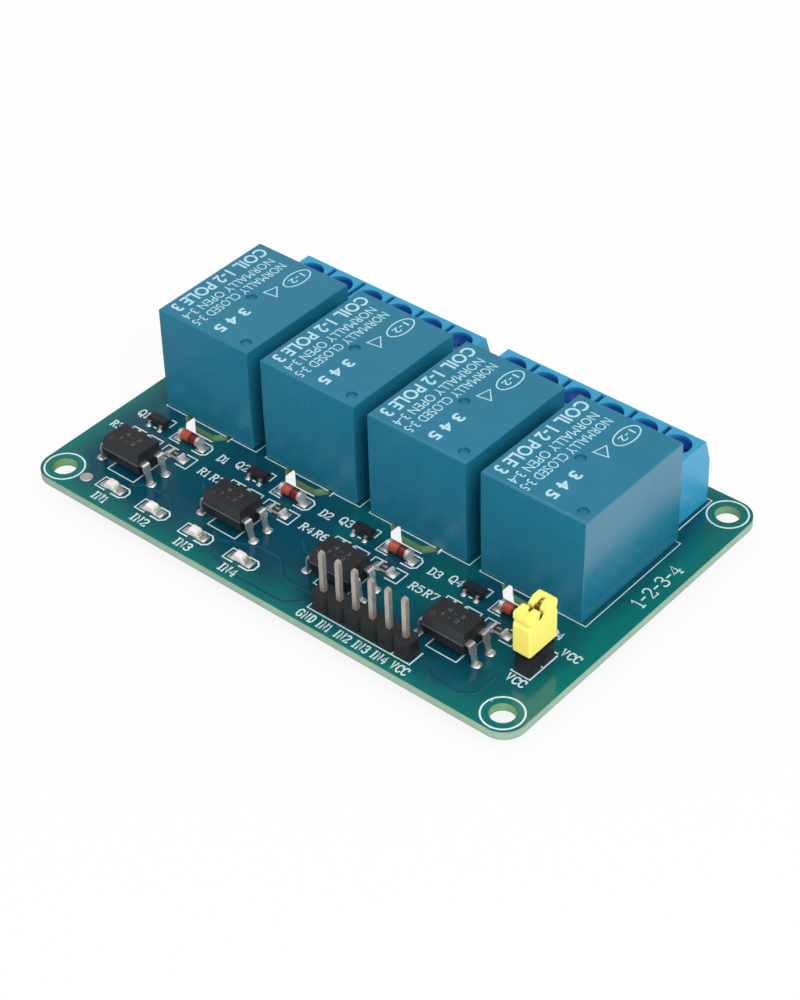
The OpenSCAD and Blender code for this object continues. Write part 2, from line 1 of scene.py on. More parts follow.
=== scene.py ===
"""Finishes, markings and solder for a four-relay module board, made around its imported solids.

The solids are loaded as the frame, and each operator adds or finishes one group of pieces.
Shapes are laid out in millimetres and brought to metres as the last step of each maker.
"""
import math

import bmesh
import bpy
from bpy.props import FloatProperty, FloatVectorProperty, PointerProperty
from bpy.types import Operator, Panel, PropertyGroup
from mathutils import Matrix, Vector


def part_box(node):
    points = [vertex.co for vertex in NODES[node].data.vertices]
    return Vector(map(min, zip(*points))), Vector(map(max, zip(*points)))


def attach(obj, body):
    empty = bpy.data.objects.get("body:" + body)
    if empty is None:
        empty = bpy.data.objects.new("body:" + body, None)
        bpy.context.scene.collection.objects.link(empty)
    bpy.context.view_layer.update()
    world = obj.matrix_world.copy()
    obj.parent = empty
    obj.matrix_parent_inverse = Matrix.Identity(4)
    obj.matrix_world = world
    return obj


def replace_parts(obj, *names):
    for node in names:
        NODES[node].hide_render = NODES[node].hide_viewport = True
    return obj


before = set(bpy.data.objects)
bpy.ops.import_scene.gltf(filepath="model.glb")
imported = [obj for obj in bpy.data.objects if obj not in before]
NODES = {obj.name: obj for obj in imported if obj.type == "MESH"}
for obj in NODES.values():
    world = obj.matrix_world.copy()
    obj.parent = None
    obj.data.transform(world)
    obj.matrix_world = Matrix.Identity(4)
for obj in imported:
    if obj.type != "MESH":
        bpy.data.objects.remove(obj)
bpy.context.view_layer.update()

bl_info = {
    "name": "Relay board finishes",
    "version": (1, 0, 0),
    "blender": (4, 5, 0),
    "location": "View3D > Sidebar > Relay board",
    "description": "Marks, solders and finishes a four-relay module board",
    "category": "Object",
}

MM = 0.001
CHANNELS = (1, 2, 3, 4)
SIDES = ("left", "right")
BODY = "module"


def span(node):
    """Lowest and highest corner of a solid, in millimetres."""
    low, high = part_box(node)
    return low / MM, high / MM


def centre(node):
    """Middle of a solid's box, in millimetres."""
    low, high = span(node)
    return (low + high) / 2


RELAY_X = [centre(f"relay_{k}").x for k in CHANNELS]
RELAY_PITCH = RELAY_X[1] - RELAY_X[0]
RELAY_TOP = span("relay_1")[1].z
BOARD_HALF = span("circuit_board")[1]
BOARD_TOP = BOARD_HALF.z
LAMP_X = [centre(f"led_{k}").x for k in CHANNELS]
LAMP_Y = centre("led_1").y
# Steps from the first channel's piece to each channel's
CHANNEL_STEPS = [RELAY_PITCH * (k - 1) for k in CHANNELS]
LAMP_STEPS = [x - LAMP_X[0] for x in LAMP_X]


# Sizes and colours that a user would change


def linear(level):
    """A screen level from 0 to 255 as scene-linear light."""
    share = level / 255
    return share / 12.92 if share <= 0.04045 else ((share + 0.055) / 1.055) ** 2.4


def colour(name, description, red, green, blue):
    """A colour property whose default is given in screen levels."""
    return FloatVectorProperty(
        name=name,
        description=description,
        subtype="COLOR",
        size=3,
        min=0,
        max=1,
        default=(linear(red), linear(green), linear(blue)),
    )


def length(name, description, millimetres):
    """A length property whose default is given in millimetres."""
    return FloatProperty(
        name=name,
        description=description,
        subtype="DISTANCE",
        unit="LENGTH",
        min=0,
        default=millimetres * MM,
    )


class BoardColours(PropertyGroup):
    """Colours of the bare board."""

    mask: colour("Solder mask", "Mask over the copper plane", 8, 70, 88)
    rim: colour("Mask rim", "Mask over bare laminate near the edges", 11, 108, 102)
    track: colour("Tracks", "Mask over the signal tracks", 10, 78, 100)
    laminate: colour("Laminate", "Laminate in the slots and holes", 126, 172, 124)
    edge: colour("Outer edge", "Laminate along the outer edges", 146, 176, 154)
    legend: colour("Legend", "Printed outlines and letters", 214, 232, 232)


class PlasticColours(PropertyGroup):
    """Colours of the moulded pieces."""

    relay: colour("Relay", "Relay covers", 28, 115, 143)
    terminal: colour("Terminal", "Terminal housings", 44, 154, 197)
    # Painted shade: a deeper blue put down in the terminal wells and rib slots
    well_shade: colour("Terminal wells", "Depth of the terminal housings", 16, 84, 176)
    epoxy: colour("Epoxy", "Optocoupler and transistor bodies", 24, 25, 27)
    header: colour("Header", "Pin header strips", 26, 26, 28)
    jumper: colour("Jumper", "Jumper cap", 253, 240, 112)
    relay_print: colour("Relay print", "Print on the relay covers", 172, 210, 222)


class MetalColours(PropertyGroup):
    """Colours of the metal pieces."""

    solder: colour("Solder", "Solder fillets and joints", 214, 210, 204)
    tin: colour("Tin", "Tinned leads and caps", 222, 222, 220)
    pin: colour("Pins", "Header pins", 202, 194, 184)
    zinc: colour("Zinc", "Clamp screws and cages", 190, 192, 194)
    brass: colour("Brass", "Jumper contact", 214, 176, 100)


class MarkSizes(PropertyGroup):
    """Sizes of the printed marks."""

    line: length("Line width", "Outlines printed round the parts", 0.26)
    ring: length("Ring width", "Rings round the mounting holes", 0.26)
    letter: length("Letter height", "Legend letters on the board", 1.2)
    stroke: length("Letter stroke", "Stroke of the legend letters", 0.25)
    rise: length("Ink thickness", "How far the legend stands off the mask", 0.02)
    fillet: length("Fillet height", "Height of the solder on the pads", 0.24)


class StageSetup(PropertyGroup):
    """The camera's lens and the light on the stage."""

    focal_length: FloatProperty(
        name="Focal length", description="Lens of the camera", unit="CAMERA", default=113.258
    )
    key_power: FloatProperty(
        name="Key lamp", description="Power of the overhead lamp", unit="POWER", default=3.0
    )
    sky: FloatProperty(
        name="Sky level", description="Strength of the light from all round", default=0.85
    )


# Wiring of materials. Noise scales are per metre, and other lengths in millimetres.

# Levels between which most of a noise texture lies
COMMON = (0.3, 0.7)


def opaque(rgb):
    """A colour with full opacity."""
    return (*tuple(rgb)[:3], 1.0)


class Wiring:
    """A node tree while it is being wired."""

    def __init__(self, tree):
        self.tree = tree

    def join(self, value, socket):
        """Links an output to a socket, or sets the socket's own value."""
        if isinstance(value, bpy.types.NodeSocket):
            self.tree.links.new(value, socket)
        else:
            socket.default_value = opaque(value) if socket.type == "RGBA" else value

    def add(self, kind, sockets=(), **settings):
        """Adds a node, with its settings and its (socket, value) pairs."""
        node = self.tree.nodes.new("ShaderNode" + kind)
        for key, value in settings.items():
            setattr(node, key, value)
        for key, value in sockets:
            self.join(value, node.inputs[key])
        return node

    def maths(self, operation, *values):
        """The result of a Math node."""
        return self.add("Math", enumerate(values), operation=operation).outputs[0]

    def product(self, first, *others):
        """Values multiplied together."""
        for value in others:
            first = self.maths("MULTIPLY", first, value)
        return first

    def away(self, value, middle=0.0):
        """How far a value is from a middle, on either side."""
        return self.maths("ABSOLUTE", self.maths("SUBTRACT", value, middle))

    def above(self, value, level):
        """1 where a value is over a level, and 0 elsewhere."""
        return self.maths("GREATER_THAN", value, level)

    def below(self, value, level):
        """1 where a value is under a level, and 0 elsewhere."""
        return self.maths("LESS_THAN", value, level)

    def ramp(self, value, low, high, start, end, kind="LINEAR"):
        """A value brought from low..high to start..end, held at both ends."""
        pairs = zip(("Value", "From Min", "From Max", "To Min", "To Max"),
                    (value, low, high, start, end))
        return self.add("MapRange", pairs, interpolation_type=kind).outputs["Result"]

    def smooth(self, value, low, high):
        """A smooth step from 0 at low to 1 at high."""
        return self.ramp(value, low, high, 0.0, 1.0, "SMOOTHSTEP")

    def fade(self, value, low, high):
        """A smooth step from 1 at low to 0 at high."""
        return self.ramp(value, low, high, 1.0, 0.0, "SMOOTHSTEP")

    def blend(self, share, first, second):
        """A colour mixed from two others."""
        pairs = ((0, share), (6, first), (7, second))
        return self.add("Mix", pairs, data_type="RGBA").outputs[2]

    def noise(self, place, scale, detail=2.0, roughness=0.5):
        """The level of a noise texture."""
        pairs = zip(("Vector", "Scale", "Detail", "Roughness"), (place, scale, detail, roughness))
        return self.add("TexNoise", pairs).outputs["Fac"]

    def rays(self):
        """Whether a ray is seen, straight or through glass, and whether it is mirrored."""
        ray = self.add("LightPath").outputs
        seen = self.maths("MAXIMUM", ray["Is Camera Ray"], ray["Is Transmission Ray"])
        return seen, ray["Is Glossy Ray"]


def effect(name, inputs, outputs):
    """An empty shader node group, with its wiring, inputs and output node."""
    tree = bpy.data.node_groups.new(name, "ShaderNodeTree")
    for label, kind, default in inputs:
        socket = tree.interface.new_socket(label, in_out="INPUT", socket_type="NodeSocket" + kind)
        if default is not None:
            socket.default_value = default
    for label, kind in outputs:
        tree.interface.new_socket(label, in_out="OUTPUT", socket_type="NodeSocket" + kind)
    given = tree.nodes.new("NodeGroupInput").outputs
    return tree, Wiring(tree), given, tree.nodes.new("NodeGroupOutput").inputs


def make_cloudy_tint():
    """Slow uneven lightness, as in any moulded or printed colour."""
    tree, wiring, given, result = effect(
        "Cloudy tint",
        (("Colour", "Color", (0.5, 0.5, 0.5, 1)), ("Place", "Vector", None),
         ("Scale", "Float", 200.0), ("Amount", "Float", 0.05)),
        (("Colour", "Color"),),
    )
    level = wiring.noise(given["Place"], given["Scale"], 3.0)
    centred = wiring.maths("SUBTRACT", level, 0.5)
    swing = wiring.product(centred, given["Amount"], 4.0)
    gain = wiring.maths("ADD", swing, 1.0)
    node = wiring.add("VectorMath", ((0, given["Colour"]), ("Scale", gain)), operation="SCALE")
    wiring.join(node.outputs[0], result["Colour"])
    return tree


def make_surface_grain():
    """Fine texture of a moulded or plated skin."""
    tree, wiring, given, result = effect(
        "Surface grain",
        (("Place", "Vector", None), ("Scale", "Float", 4000.0), ("Mix", "Float", 0.5)),
        (("Height", "Float"), ("Level", "Float")),
    )
    fine = wiring.noise(given["Place"], given["Scale"], roughness=0.6)
    coarse = wiring.noise(given["Place"], wiring.product(given["Scale"], 0.12))
    height = wiring.add("Mix", ((0, given["Mix"]), (2, fine), (3, coarse))).outputs[0]
    wiring.join(height, result["Height"])
    wiring.join(coarse, result["Level"])
    return tree


def make_lint():
    """Sparse pale specks of lint and flux."""
    tree, wiring, given, result = effect(
        "Lint",
        (("Place", "Vector", None), ("Scale", "Float", 900.0), ("Size", "Float", 0.1)),
        (("Mask", "Float"),),
    )
    cells = wiring.add("TexVoronoi", (("Vector", given["Place"]), ("Scale", given["Scale"])))
    near = wiring.below(cells.outputs["Distance"], given["Size"])
    pick = wiring.add("SeparateColor", ((0, cells.outputs["Color"]),)).outputs[0]
    rare = wiring.above(pick, 0.92)
    wiring.join(wiring.product(near, rare), result["Mask"])
    return tree


class Finish(Wiring):
    """One material: a Principled shader and the effects that feed it."""

    def __init__(self, name, **sockets):
        self.material = bpy.data.materials.new(name)
        self.material.use_nodes = True
        super().__init__(self.material.node_tree)
        self.shader = self.tree.nodes["Principled BSDF"]
        self.place = self.add("TexCoord").outputs["Object"]
        self.feed(**sockets)

    def feed(self, **values):
        """Joins values to the shader's sockets, and hands back the material."""
        for key, value in values.items():
            label = "IOR" if key == "ior" else key.replace("_", " ").title()
            self.join(value, self.shader.inputs[label])
        return self.material

    def effect(self, name, **values):
        """Places a shared effect, with its own values."""
        values.setdefault("Place", self.place)
        tree = bpy.data.node_groups[name]
        return self.add("Group", values.items(), node_tree=tree).outputs

    def axes(self):
        """The place's X, Y and Z, in millimetres."""
        node = self.add("VectorMath", ((0, self.place), ("Scale", 1 / MM)), operation="SCALE")
        return self.add("SeparateXYZ", ((0, node.outputs[0]),)).outputs

    def facing(self):
        """The normal's X, Y and Z."""
        normal = self.add("NewGeometry").outputs["Normal"]
        return self.add("SeparateXYZ", ((0, normal),)).outputs

    def distance(self, *steps):
        """The length of a step, from its parts along X and Y."""
        step = self.add("CombineXYZ", enumerate(steps)).outputs[0]
        return self.add("VectorMath", ((0, step),), operation="LENGTH").outputs["Value"]

    def along(self, node):
        """How far along X a place is from the middle of a piece, or of its nearest twin."""
        step = self.maths("SUBTRACT", self.axes()[0], centre(node).x)
        return self.maths("WRAP", step, RELAY_PITCH / 2, -RELAY_PITCH / 2)

    def tinted(self, rgb, scale=150.0, amount=0.04):
        """A colour with the cloudy tint over it."""
        return self.effect("Cloudy tint", Colour=rgb, Scale=scale, Amount=amount)["Colour"]

    def bump(self, height, depth):
        """Turns a height into the shader's normal."""
        node = self.add("Bump", (("Height", height), ("Distance", depth * MM)))
        self.feed(normal=node.outputs["Normal"])

    def skin(self, base, scale, rough, depth, mix=0.5):
        """Feeds a colour, fine grain and a roughness that wanders between two levels."""
        grain = self.effect("Surface grain", Scale=scale, Mix=mix)
        self.bump(grain["Height"], depth)
        return self.feed(base_color=base, roughness=self.ramp(grain["Level"], *COMMON, *rough))


def moulded(name, rgb, rough, grain, depth, lint=0.0, **sockets):
    """A moulded finish, with specks of lint of the size given."""
    finish = Finish(name, **sockets)
    base = finish.tinted(rgb)
    if lint:
        specks = finish.effect("Lint", Scale=420.0, Size=lint)["Mask"]
        base = finish.blend(specks, base, [0.75 * part + 0.12 for part in rgb])
    return finish.skin(base, grain, rough, depth)


def inked(name, rgb, rough=(0.5, 0.6)):
    """A fine matt finish for print and small marks."""
    return moulded(name, rgb, rough, 3000.0, 0.004)


def plated(name, rgb, rough=(0.16, 0.32), grain=1800.0, depth=0.02, dull=0.75, metallic=1.0):
    """A tinned, soldered or zinc plated finish. Frosted skins are only partly metallic."""
    finish = Finish(name, metallic=metallic)
    stain = finish.smooth(finish.noise(finish.place, 900.0, 3.0), 0.52, 0.72)
    worn = [dull * part for part in rgb]
    base = finish.blend(stain, finish.tinted(rgb, 500.0, 0.06), worn)
    return finish.skin(base, grain, rough, depth, 0.6)


def wear(material, *names, ends=()):
    """Gives solids their finish. Where a name stands for a row, its ends tell them apart."""
    for node in [f"{name}_{end}" for name in names for end in ends] or names:
        for slot in NODES[node].material_slots:
            slot.material = material


# Making of pieces


def only(piece):
    """Makes one object the only selected and active one."""
    bpy.ops.object.select_all(action="DESELECT")
    piece.select_set(True)
    bpy.context.view_layer.objects.active = piece


def made(add, **settings):
    """A new object from an add operator, with nothing else selected."""
    bpy.ops.object.select_all(action="DESELECT")
    add(**settings)
    return bpy.context.object


def bake(location=False, rotation=False, scale=False):
    """Brings parts of the selected pieces' transforms into their meshes."""
    bpy.ops.object.transform_apply(location=location, rotation=rotation, scale=scale)


def block(size):
    """A box about the origin, to be shaped further."""
    piece = made(bpy.ops.mesh.primitive_cube_add, size=1)
    piece.scale = size
    bake(scale=True)
    return piece


def pick_end(piece, way=1):
    """Enters edit mode with the highest level face selected, or the lowest where way is -1."""
    bpy.ops.object.mode_set(mode="EDIT")
    bpy.ops.mesh.select_mode(type="FACE")
    mesh = bmesh.from_edit_mesh(piece.data)
    end = max(way * vertex.co.z for vertex in mesh.verts)
    for face in mesh.faces:
        height = way * face.calc_center_median().z
        face.select_set(way * face.normal.z > 0.9 and height > end - 1e-6)
    mesh.select_flush_mode()
    bmesh.update_edit_mesh(piece.data)


def shaped(piece, kind, **settings):
    """Applies a modifier to a piece."""
    only(piece)
    modifier = piece.modifiers.new(kind.title(), kind)
    for key, value in settings.items():
        setattr(modifier, key, value)
    bpy.ops.object.modifier_apply(modifier=modifier.name)


def settle(piece, place, scale=(1, 1, 1), turn=0.0):
    """Scales, turns and moves a piece, in millimetres, and brings it to metres in its mesh."""
    only(piece)
    piece.scale = scale
    piece.rotation_euler = (0, 0, turn)
    bake(rotation=True, scale=True)
    piece.scale = (MM, MM, MM)
    piece.location = Vector(place) * MM
    bake(True, True, True)
    return piece


def joined(pieces, name):
    """Joins pieces into one."""
    only(pieces[0])
    for piece in pieces:
        piece.select_set(True)
    bpy.ops.object.join()
    pieces[0].name = name
    return pieces[0]


def copied(piece, name, dx=0.0, dy=0.0):
    """A copy with a mesh of its own, moved by millimetres in its mesh."""
    only(piece)
    bpy.ops.object.duplicate(linked=False)
    twin = bpy.context.object
    twin.name = name
    twin.location = (dx * MM, dy * MM, 0)
    bake(location=True)
    return twin


def repeated(piece, name, steps):
    """Numbered copies of a piece at each step along X, in place of the piece itself."""
    row = [copied(piece, f"{name}_{k}", step) for k, step in enumerate(steps, 1)]
    bpy.data.objects.remove(piece)
    return row


def fitted(piece, material, body=BODY):
    """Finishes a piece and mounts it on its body."""
    piece.data.materials.clear()
    piece.data.materials.append(material)
    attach(piece, body)
    return piece


def ink_lines(name, runs, width, top, rise, closed=False):
    """Raised lines along runs of points, each run back to its start where closed."""
    piece = made(bpy.ops.curve.primitive_nurbs_path_add)
    piece.name = name
    path = piece.data
    path.splines.clear()
    for run in runs:
        line = path.splines.new("POLY")
        line.points.add(len(run) - 1)
        for point, (x, y) in zip(line.points, run):
            point.co = (x, y, 0, 1)
        line.use_cyclic_u = closed
    path.bevel_depth = width / 2
    path.bevel_resolution = 1
    path.use_fill_caps = True
    bpy.ops.object.convert(target="MESH")
    return settle(bpy.context.object, (0, 0, top), (1, 1, 2 * rise / width))


def words(text, middle, size, top, rise, turn=0.0, weight=0.02):
    """Type set in the built-in face, brought to a size and laid flat."""
    piece = made(bpy.ops.object.text_add)
    piece.data.body = text
    piece.data.offset = weight
    piece.data.extrude = 1.0
    piece.data.align_x = "CENTER"
    piece.data.resolution_u = 3
    bpy.ops.object.convert(target="MESH")
    piece = bpy.context.object
    reaches = list(zip(*(vertex.co for vertex in piece.data.vertices)))
    low, high = Vector(map(min, reaches)), Vector(map(max, reaches))
    piece.location = -(low + high) / 2
    bake(location=True)
    scale = (size[0] / (high.x - low.x), size[1] / (high.y - low.y), rise)
    return settle(piece, (*middle, top), scale, turn)


# Legend letters, drawn in a cell 6 high: runs of x,y points, one run to a bar

LETTERS = {
    "C": "4,4 4,6|4,4.8 3,6 1.5,6 .3,4.6 .3,1.4 1.5,0 3,0 4.1,1.3",
    "D": "0,0 2.6,0 4,1.4 4,4.6 2.6,6 0,6|.9,0 .9,6",
    "G": "4,4.3 4,5.2 3,6 1.5,6 .3,4.6 .3,1.4 1.5,0 3,0 4,1 4,2.6|2.6,2.6 4.6,2.6",
    "I": "0,0 2.2,0|0,6 2.2,6|1.1,0 1.1,6",
    "N": "0,0 1.6,0|.8,0 .8,6 3.8,0 3.8,6|0,6 .8,6|3,6 4.6,6",
    "Q": "1.5,0 .3,1.4 .3,4.6 1.5,6 2.9,6 4.1,4.6 4.1,1.4 2.9,0 1.5,0|2,1.6 3.4,-.8 4.6,-.8",
    "R": "0,0 1.7,0|.9,0 .9,6|0,6 3,6 3.9,5.2 3.9,3.9 3,3.1 .9,3.1|2.4,3.1 3.8,0 4.6,0",
    "V": "0,6 1.6,6|.8,6 2.4,0 4,6|3.2,6 4.8,6",
    "1": "0,4.8 1.2,6 1.2,0|.1,0 2.3,0",
    "2": ".2,4.6 .8,5.8 2.6,6 3.6,5 3.4,3.6 .2,0 3.7,0 3.7,1",
    "3": ".2,5 1,6 2.8,6 3.6,5 3.4,3.8 2.4,3.2 1.4,3.2|2.4,3.2 3.6,2.4 3.7,1 2.8,0 1,0 .1,1",
    "4": "3,0 3,6 0,1.8 4.2,1.8|2.2,0 3.8,0",
    "5": "3.6,6 .6,6 .4,3.4 2.4,3.8 3.7,2.6 3.6,1 2.4,0 .8,0 .1,1",
    "6": "3.6,5.4 2.6,6 1.2,5.4 .3,3.4 .3,1.4 1.2,0 2.8,0 3.8,1.2 3.7,2.6 2.6,3.5 1,3.2 .3,2",
    "7": ".2,5 .2,6 3.8,6 1.6,0",
    "-": ".2,3 3,3",
}
LETTER_GAP = 0.9
LETTER_CELL = 6


def lettered(text, middle, height, turn=0.0, width=1.0):
    """Runs of points that write a text, centred on a point. Width squeezes the letters."""
    unit = height / LETTER_CELL
    runs, reach = [], 0.0
    for letter in text:
        bars = [[tuple(map(float, pair.split(","))) for pair in bar.split()]
                for bar in LETTERS[letter].split("|")]
        runs += [[(x * width + reach, y) for x, y in bar] for bar in bars]
        reach += width * max(x for bar in bars for x, y in bar) + LETTER_GAP
    half = (reach - LETTER_GAP) / 2
    cosine, sine = math.cos(turn), math.sin(turn)
    placed = []
    for run in runs:
        flat = [((x - half) * unit, (y - LETTER_CELL / 2) * unit) for x, y in run]
        placed.append([(middle[0] + x * cosine - y * sine, middle[1] + x * sine + y * cosine)
                       for x, y in flat])
    return placed


def shifted(runs, steps, dy=0.0):
    """The runs again at each step along X, all moved by dy."""
    return [[(x + step, y + dy) for x, y in run] for step in steps for run in runs]


def ring(middle, wide, tall, count=48):
    """Points round an oval, from its half width and half height."""
    turns = [math.tau * index / count for index in range(count)]
    return [(middle[0] + wide * math.cos(turn), middle[1] + tall * math.sin(turn))
            for turn in turns]


# Printed outlines, in millimetres on the board. Those of a channel are from its relay's middle.

HOLE_MIDDLES = [(x, y) for x in (-35.5, 35.5) for y in (-22.2, 22.2)]
HOLE_RING_RADIUS = 2.6
RELAY_LINES = [
    [(-3.9, -5.0), (-7.57, -5.0), (-7.57, 14.12), (8.3, 14.12), (8.3, -4.95), (4.05, -4.95)],
    [(-2.4, -4.98), (3.1, -4.98)],
    [(3.97, -5.75), (3.97, -4.75)],
]
CHANNEL_LINES = [
    [(-4.27, -17.3), (-4.27, -19.08), (0.27, -19.08), (0.27, -17.3)],
    [(-4.27, -16.2), (-4.27, -14.35), (0.27, -14.35), (0.27, -16.2)],
    [(-5.5, -10.78), (-7.7, -10.78), (-7.7, -13.1), (-5.5, -13.1)],
    [(-4.75, -10.78), (-2.5, -10.78), (-2.5, -13.1), (-4.75, -13.1)],
    [(0.25, -10.78), (-1.55, -10.78), (-1.55, -13.05), (0.25, -13.05)],
    [(1.75, -10.78), (3.58, -10.78), (3.58, -13.05), (1.75, -13.05)],
    [(-4.75, -6.85), (-3.95, -6.85), (-3.95, -8.28)],
    [(-5.7, -9.36), (-5.15, -9.36)],
    [(-0.65, -7.6), (-2.45, -7.6), (-2.45, -9.8), (-0.65, -9.8)],
    [(1.5, -7.6), (3.1, -7.6), (3.62, -8.1), (3.62, -9.3), (3.1, -9.8), (1.5, -9.8)],
]
LAMP_LINES = [
    [(-0.55, -1.0), (-2.25, -1.0), (-2.25, 1.0), (-0.55, 1.0)],
    [(0.45, -1.0), (1.9, -1.0), (2.45, -0.45), (2.45, 0.45), (1.9, 1.0), (0.45, 1.0)],
]
BOARD_LINES = [
    [(6.42, -20.3), (6.42, -22.75), (22.2, -22.75), (22.2, -20.3)],
    [(19.4, -22.75), (19.4, -22.3)],
    [(31.88, -15.9), (31.88, -16.1), (34.6, -16.1), (34.6, -10.9)],
    [(34.2, -13.5), (34.6, -13.5)],
    [(33.5, -10.6), (34.5, -10.6)],
]
TERMINAL_LINES = [
    [(-33.1, 15.6), (-33.1, 23.15), (-1.65, 23.15), (-1.65, 15.6)],
    [(1.0, 15.6), (1.0, 23.15), (32.5, 23.15), (32.5, 15.6)],
]
CHANNEL_NAMES = [("Q1", "D1", "R1", "R2"), ("Q2", "D2", "R4", "R6"), ("Q3", "D3", "R5", "R7"),
                 ("Q4",)]
NAME_PLACES = [(-8.55, -8.1), (6.0, -8.6), (5.9, -12.0), (8.15, -12.0)]
BOARD_NAMES = [("VCC", (35.85, -10.0)), ("VCC", (33.35, -17.1)), ("R3", (-36.4, -11.95)),
               ("D4", (32.4, -8.05))]
HEADER_NAMES = [("GND", 7.3), ("IN1", 10.2), ("IN2", 13.05), ("IN3", 15.9), ("IN4", 18.75),
                ("VCC", 21.7)]
HEADER_NAME_Y = -23.95
HEADER_NAME_WIDTH = 0.8
LAMP_NAME_DROP = -2.35


class RELAYBOARD_OT_board(Operator):
    """Finishes the bare board: mask, laminate, and the tracks that show through it"""

    bl_idname = "relayboard.board"
    bl_label = "Board and tracks"

    TRACKS = [
        [(-26.2, -19.6), (-24.6, -18.3), (-21.0, -18.3), (-18.4, -20.2)],
        [(-19.3, -13.6), (-18.2, -14.6), (-16.9, -14.6)],
        [(-11.8, -19.4), (-10.4, -20.5), (-6.0, -18.2), (-2.0, -18.2), (0.6, -20.6), (5.9, -20.6)],
        [(-8.9, -23.0), (-4.0, -24.0), (3.4, -24.0), (5.5, -22.2)],
        [(-2.2, -13.9), (-0.4, -15.4), (1.6, -15.4)],
        [(23.6, -21.6), (25.6, -22.8), (29.6, -22.8), (31.2, -21.4), (31.2, -17.6)],
        [(15.4, -14.0), (16.6, -15.2), (18.9, -15.2)],
    ]
    UNDER_TRACKS = [
        [(-8.5, 4.6), (-8.5, 10.0), (-6.0, 13.5), (-6.0, 18.0)],
        [(0.0, -2.2), (0.0, 8.0), (-0.9, 12.0), (-0.9, 18.0)],
        [(6.0, 12.0), (4.2, 14.0), (4.2, 18.0)],
    ]
    # Width and rise of the tracks
    TRACK_SIZE = (0.5, 0.006)
    UNDER_TRACK_SIZE = (2.2, 0.03)
    # Where the copper plane fades in: from the edges inwards, and out from the holes' middles
    RIM = (-0.5, 4.4)
    HOLE_RIM = (2.1, 3.6)
    # How far the rim wanders, and how much wider it is along the right edge
    RIM_WANDER = 0.6
    RIGHT_RIM = 1.4
    # A cut nearer the edge than this is the board's own outer edge
    OUTER = 1.0

    def execute(self, context):
        colours = context.scene.relay_board_colours
        wear(self.mask(colours), "circuit_board")
        over = moulded("mask_over_tracks", colours.track, (0.1, 0.16), 900.0, 0.004)
        width, rise = self.TRACK_SIZE
        fitted(ink_lines("signal_tracks", self.TRACKS, width, BOARD_TOP, rise), over)
        width, rise = self.UNDER_TRACK_SIZE
        runs = shifted(self.UNDER_TRACKS, RELAY_X)
        fitted(ink_lines("power_tracks", runs, width, 0, rise), over)
        return {"FINISHED"}

    def mask(self, colours):
        """Glossy mask on both faces, greener near the edges, and laminate on every cut."""
        finish = Finish("solder_mask", ior=1.5)
        x, y, z = finish.axes()
        gaps = [finish.maths("SUBTRACT", half, finish.away(axis))
                for half, axis in zip(BOARD_HALF, (x, y))]
        strip = finish.product(finish.above(x, 0.0), self.RIGHT_RIM)
        wide = finish.maths("SUBTRACT", gaps[0], strip)
        noise = finish.noise(finish.place, 130.0)
        wander = finish.ramp(noise, *COMMON, -self.RIM_WANDER, self.RIM_WANDER)
        depth = finish.maths("ADD", finish.maths("MINIMUM", wide, gaps[1]), wander)
        aside = [finish.away(finish.away(axis), hole)
                 for axis, hole in zip((x, y), HOLE_MIDDLES[-1])]
        clear = finish.smooth(finish.distance(*aside), *self.HOLE_RIM)
        patch = finish.ramp(finish.noise(finish.place, 85.0, 3.0), 0.5, 0.62, 1.0, 0.6)
        deep = finish.product(finish.smooth(depth, *self.RIM), clear, patch)
        plane = finish.blend(deep, finish.tinted(colours.rim), finish.tinted(colours.mask))
        specks = finish.effect("Lint", Scale=330.0, Size=0.07)["Mask"]
        plane = finish.blend(finish.product(specks, 0.5), plane, (0.4, 0.6, 0.6))
        low = finish.fade(z, 0.0, 0.3)
        lips = finish.maths("MAXIMUM", low, finish.smooth(z, BOARD_TOP - 0.2, BOARD_TOP))
        outer = finish.below(finish.maths("MINIMUM", *gaps), self.OUTER)
        cut = finish.blend(outer, finish.tinted(colours.laminate, 300.0, 0.08),
                           finish.tinted(colours.edge, 300.0, 0.08))
        cut = finish.blend(finish.product(lips, 0.4), cut, colours.rim)
        flat = finish.above(finish.away(finish.facing()[2]), 0.7)
        finish.bump(finish.effect("Surface grain", Scale=1200.0, Mix=0.7)["Height"], 0.006)
        return finish.feed(base_color=finish.blend(flat, cut, plane),
                           roughness=finish.ramp(flat, 0, 1, 0.6, 0.12))


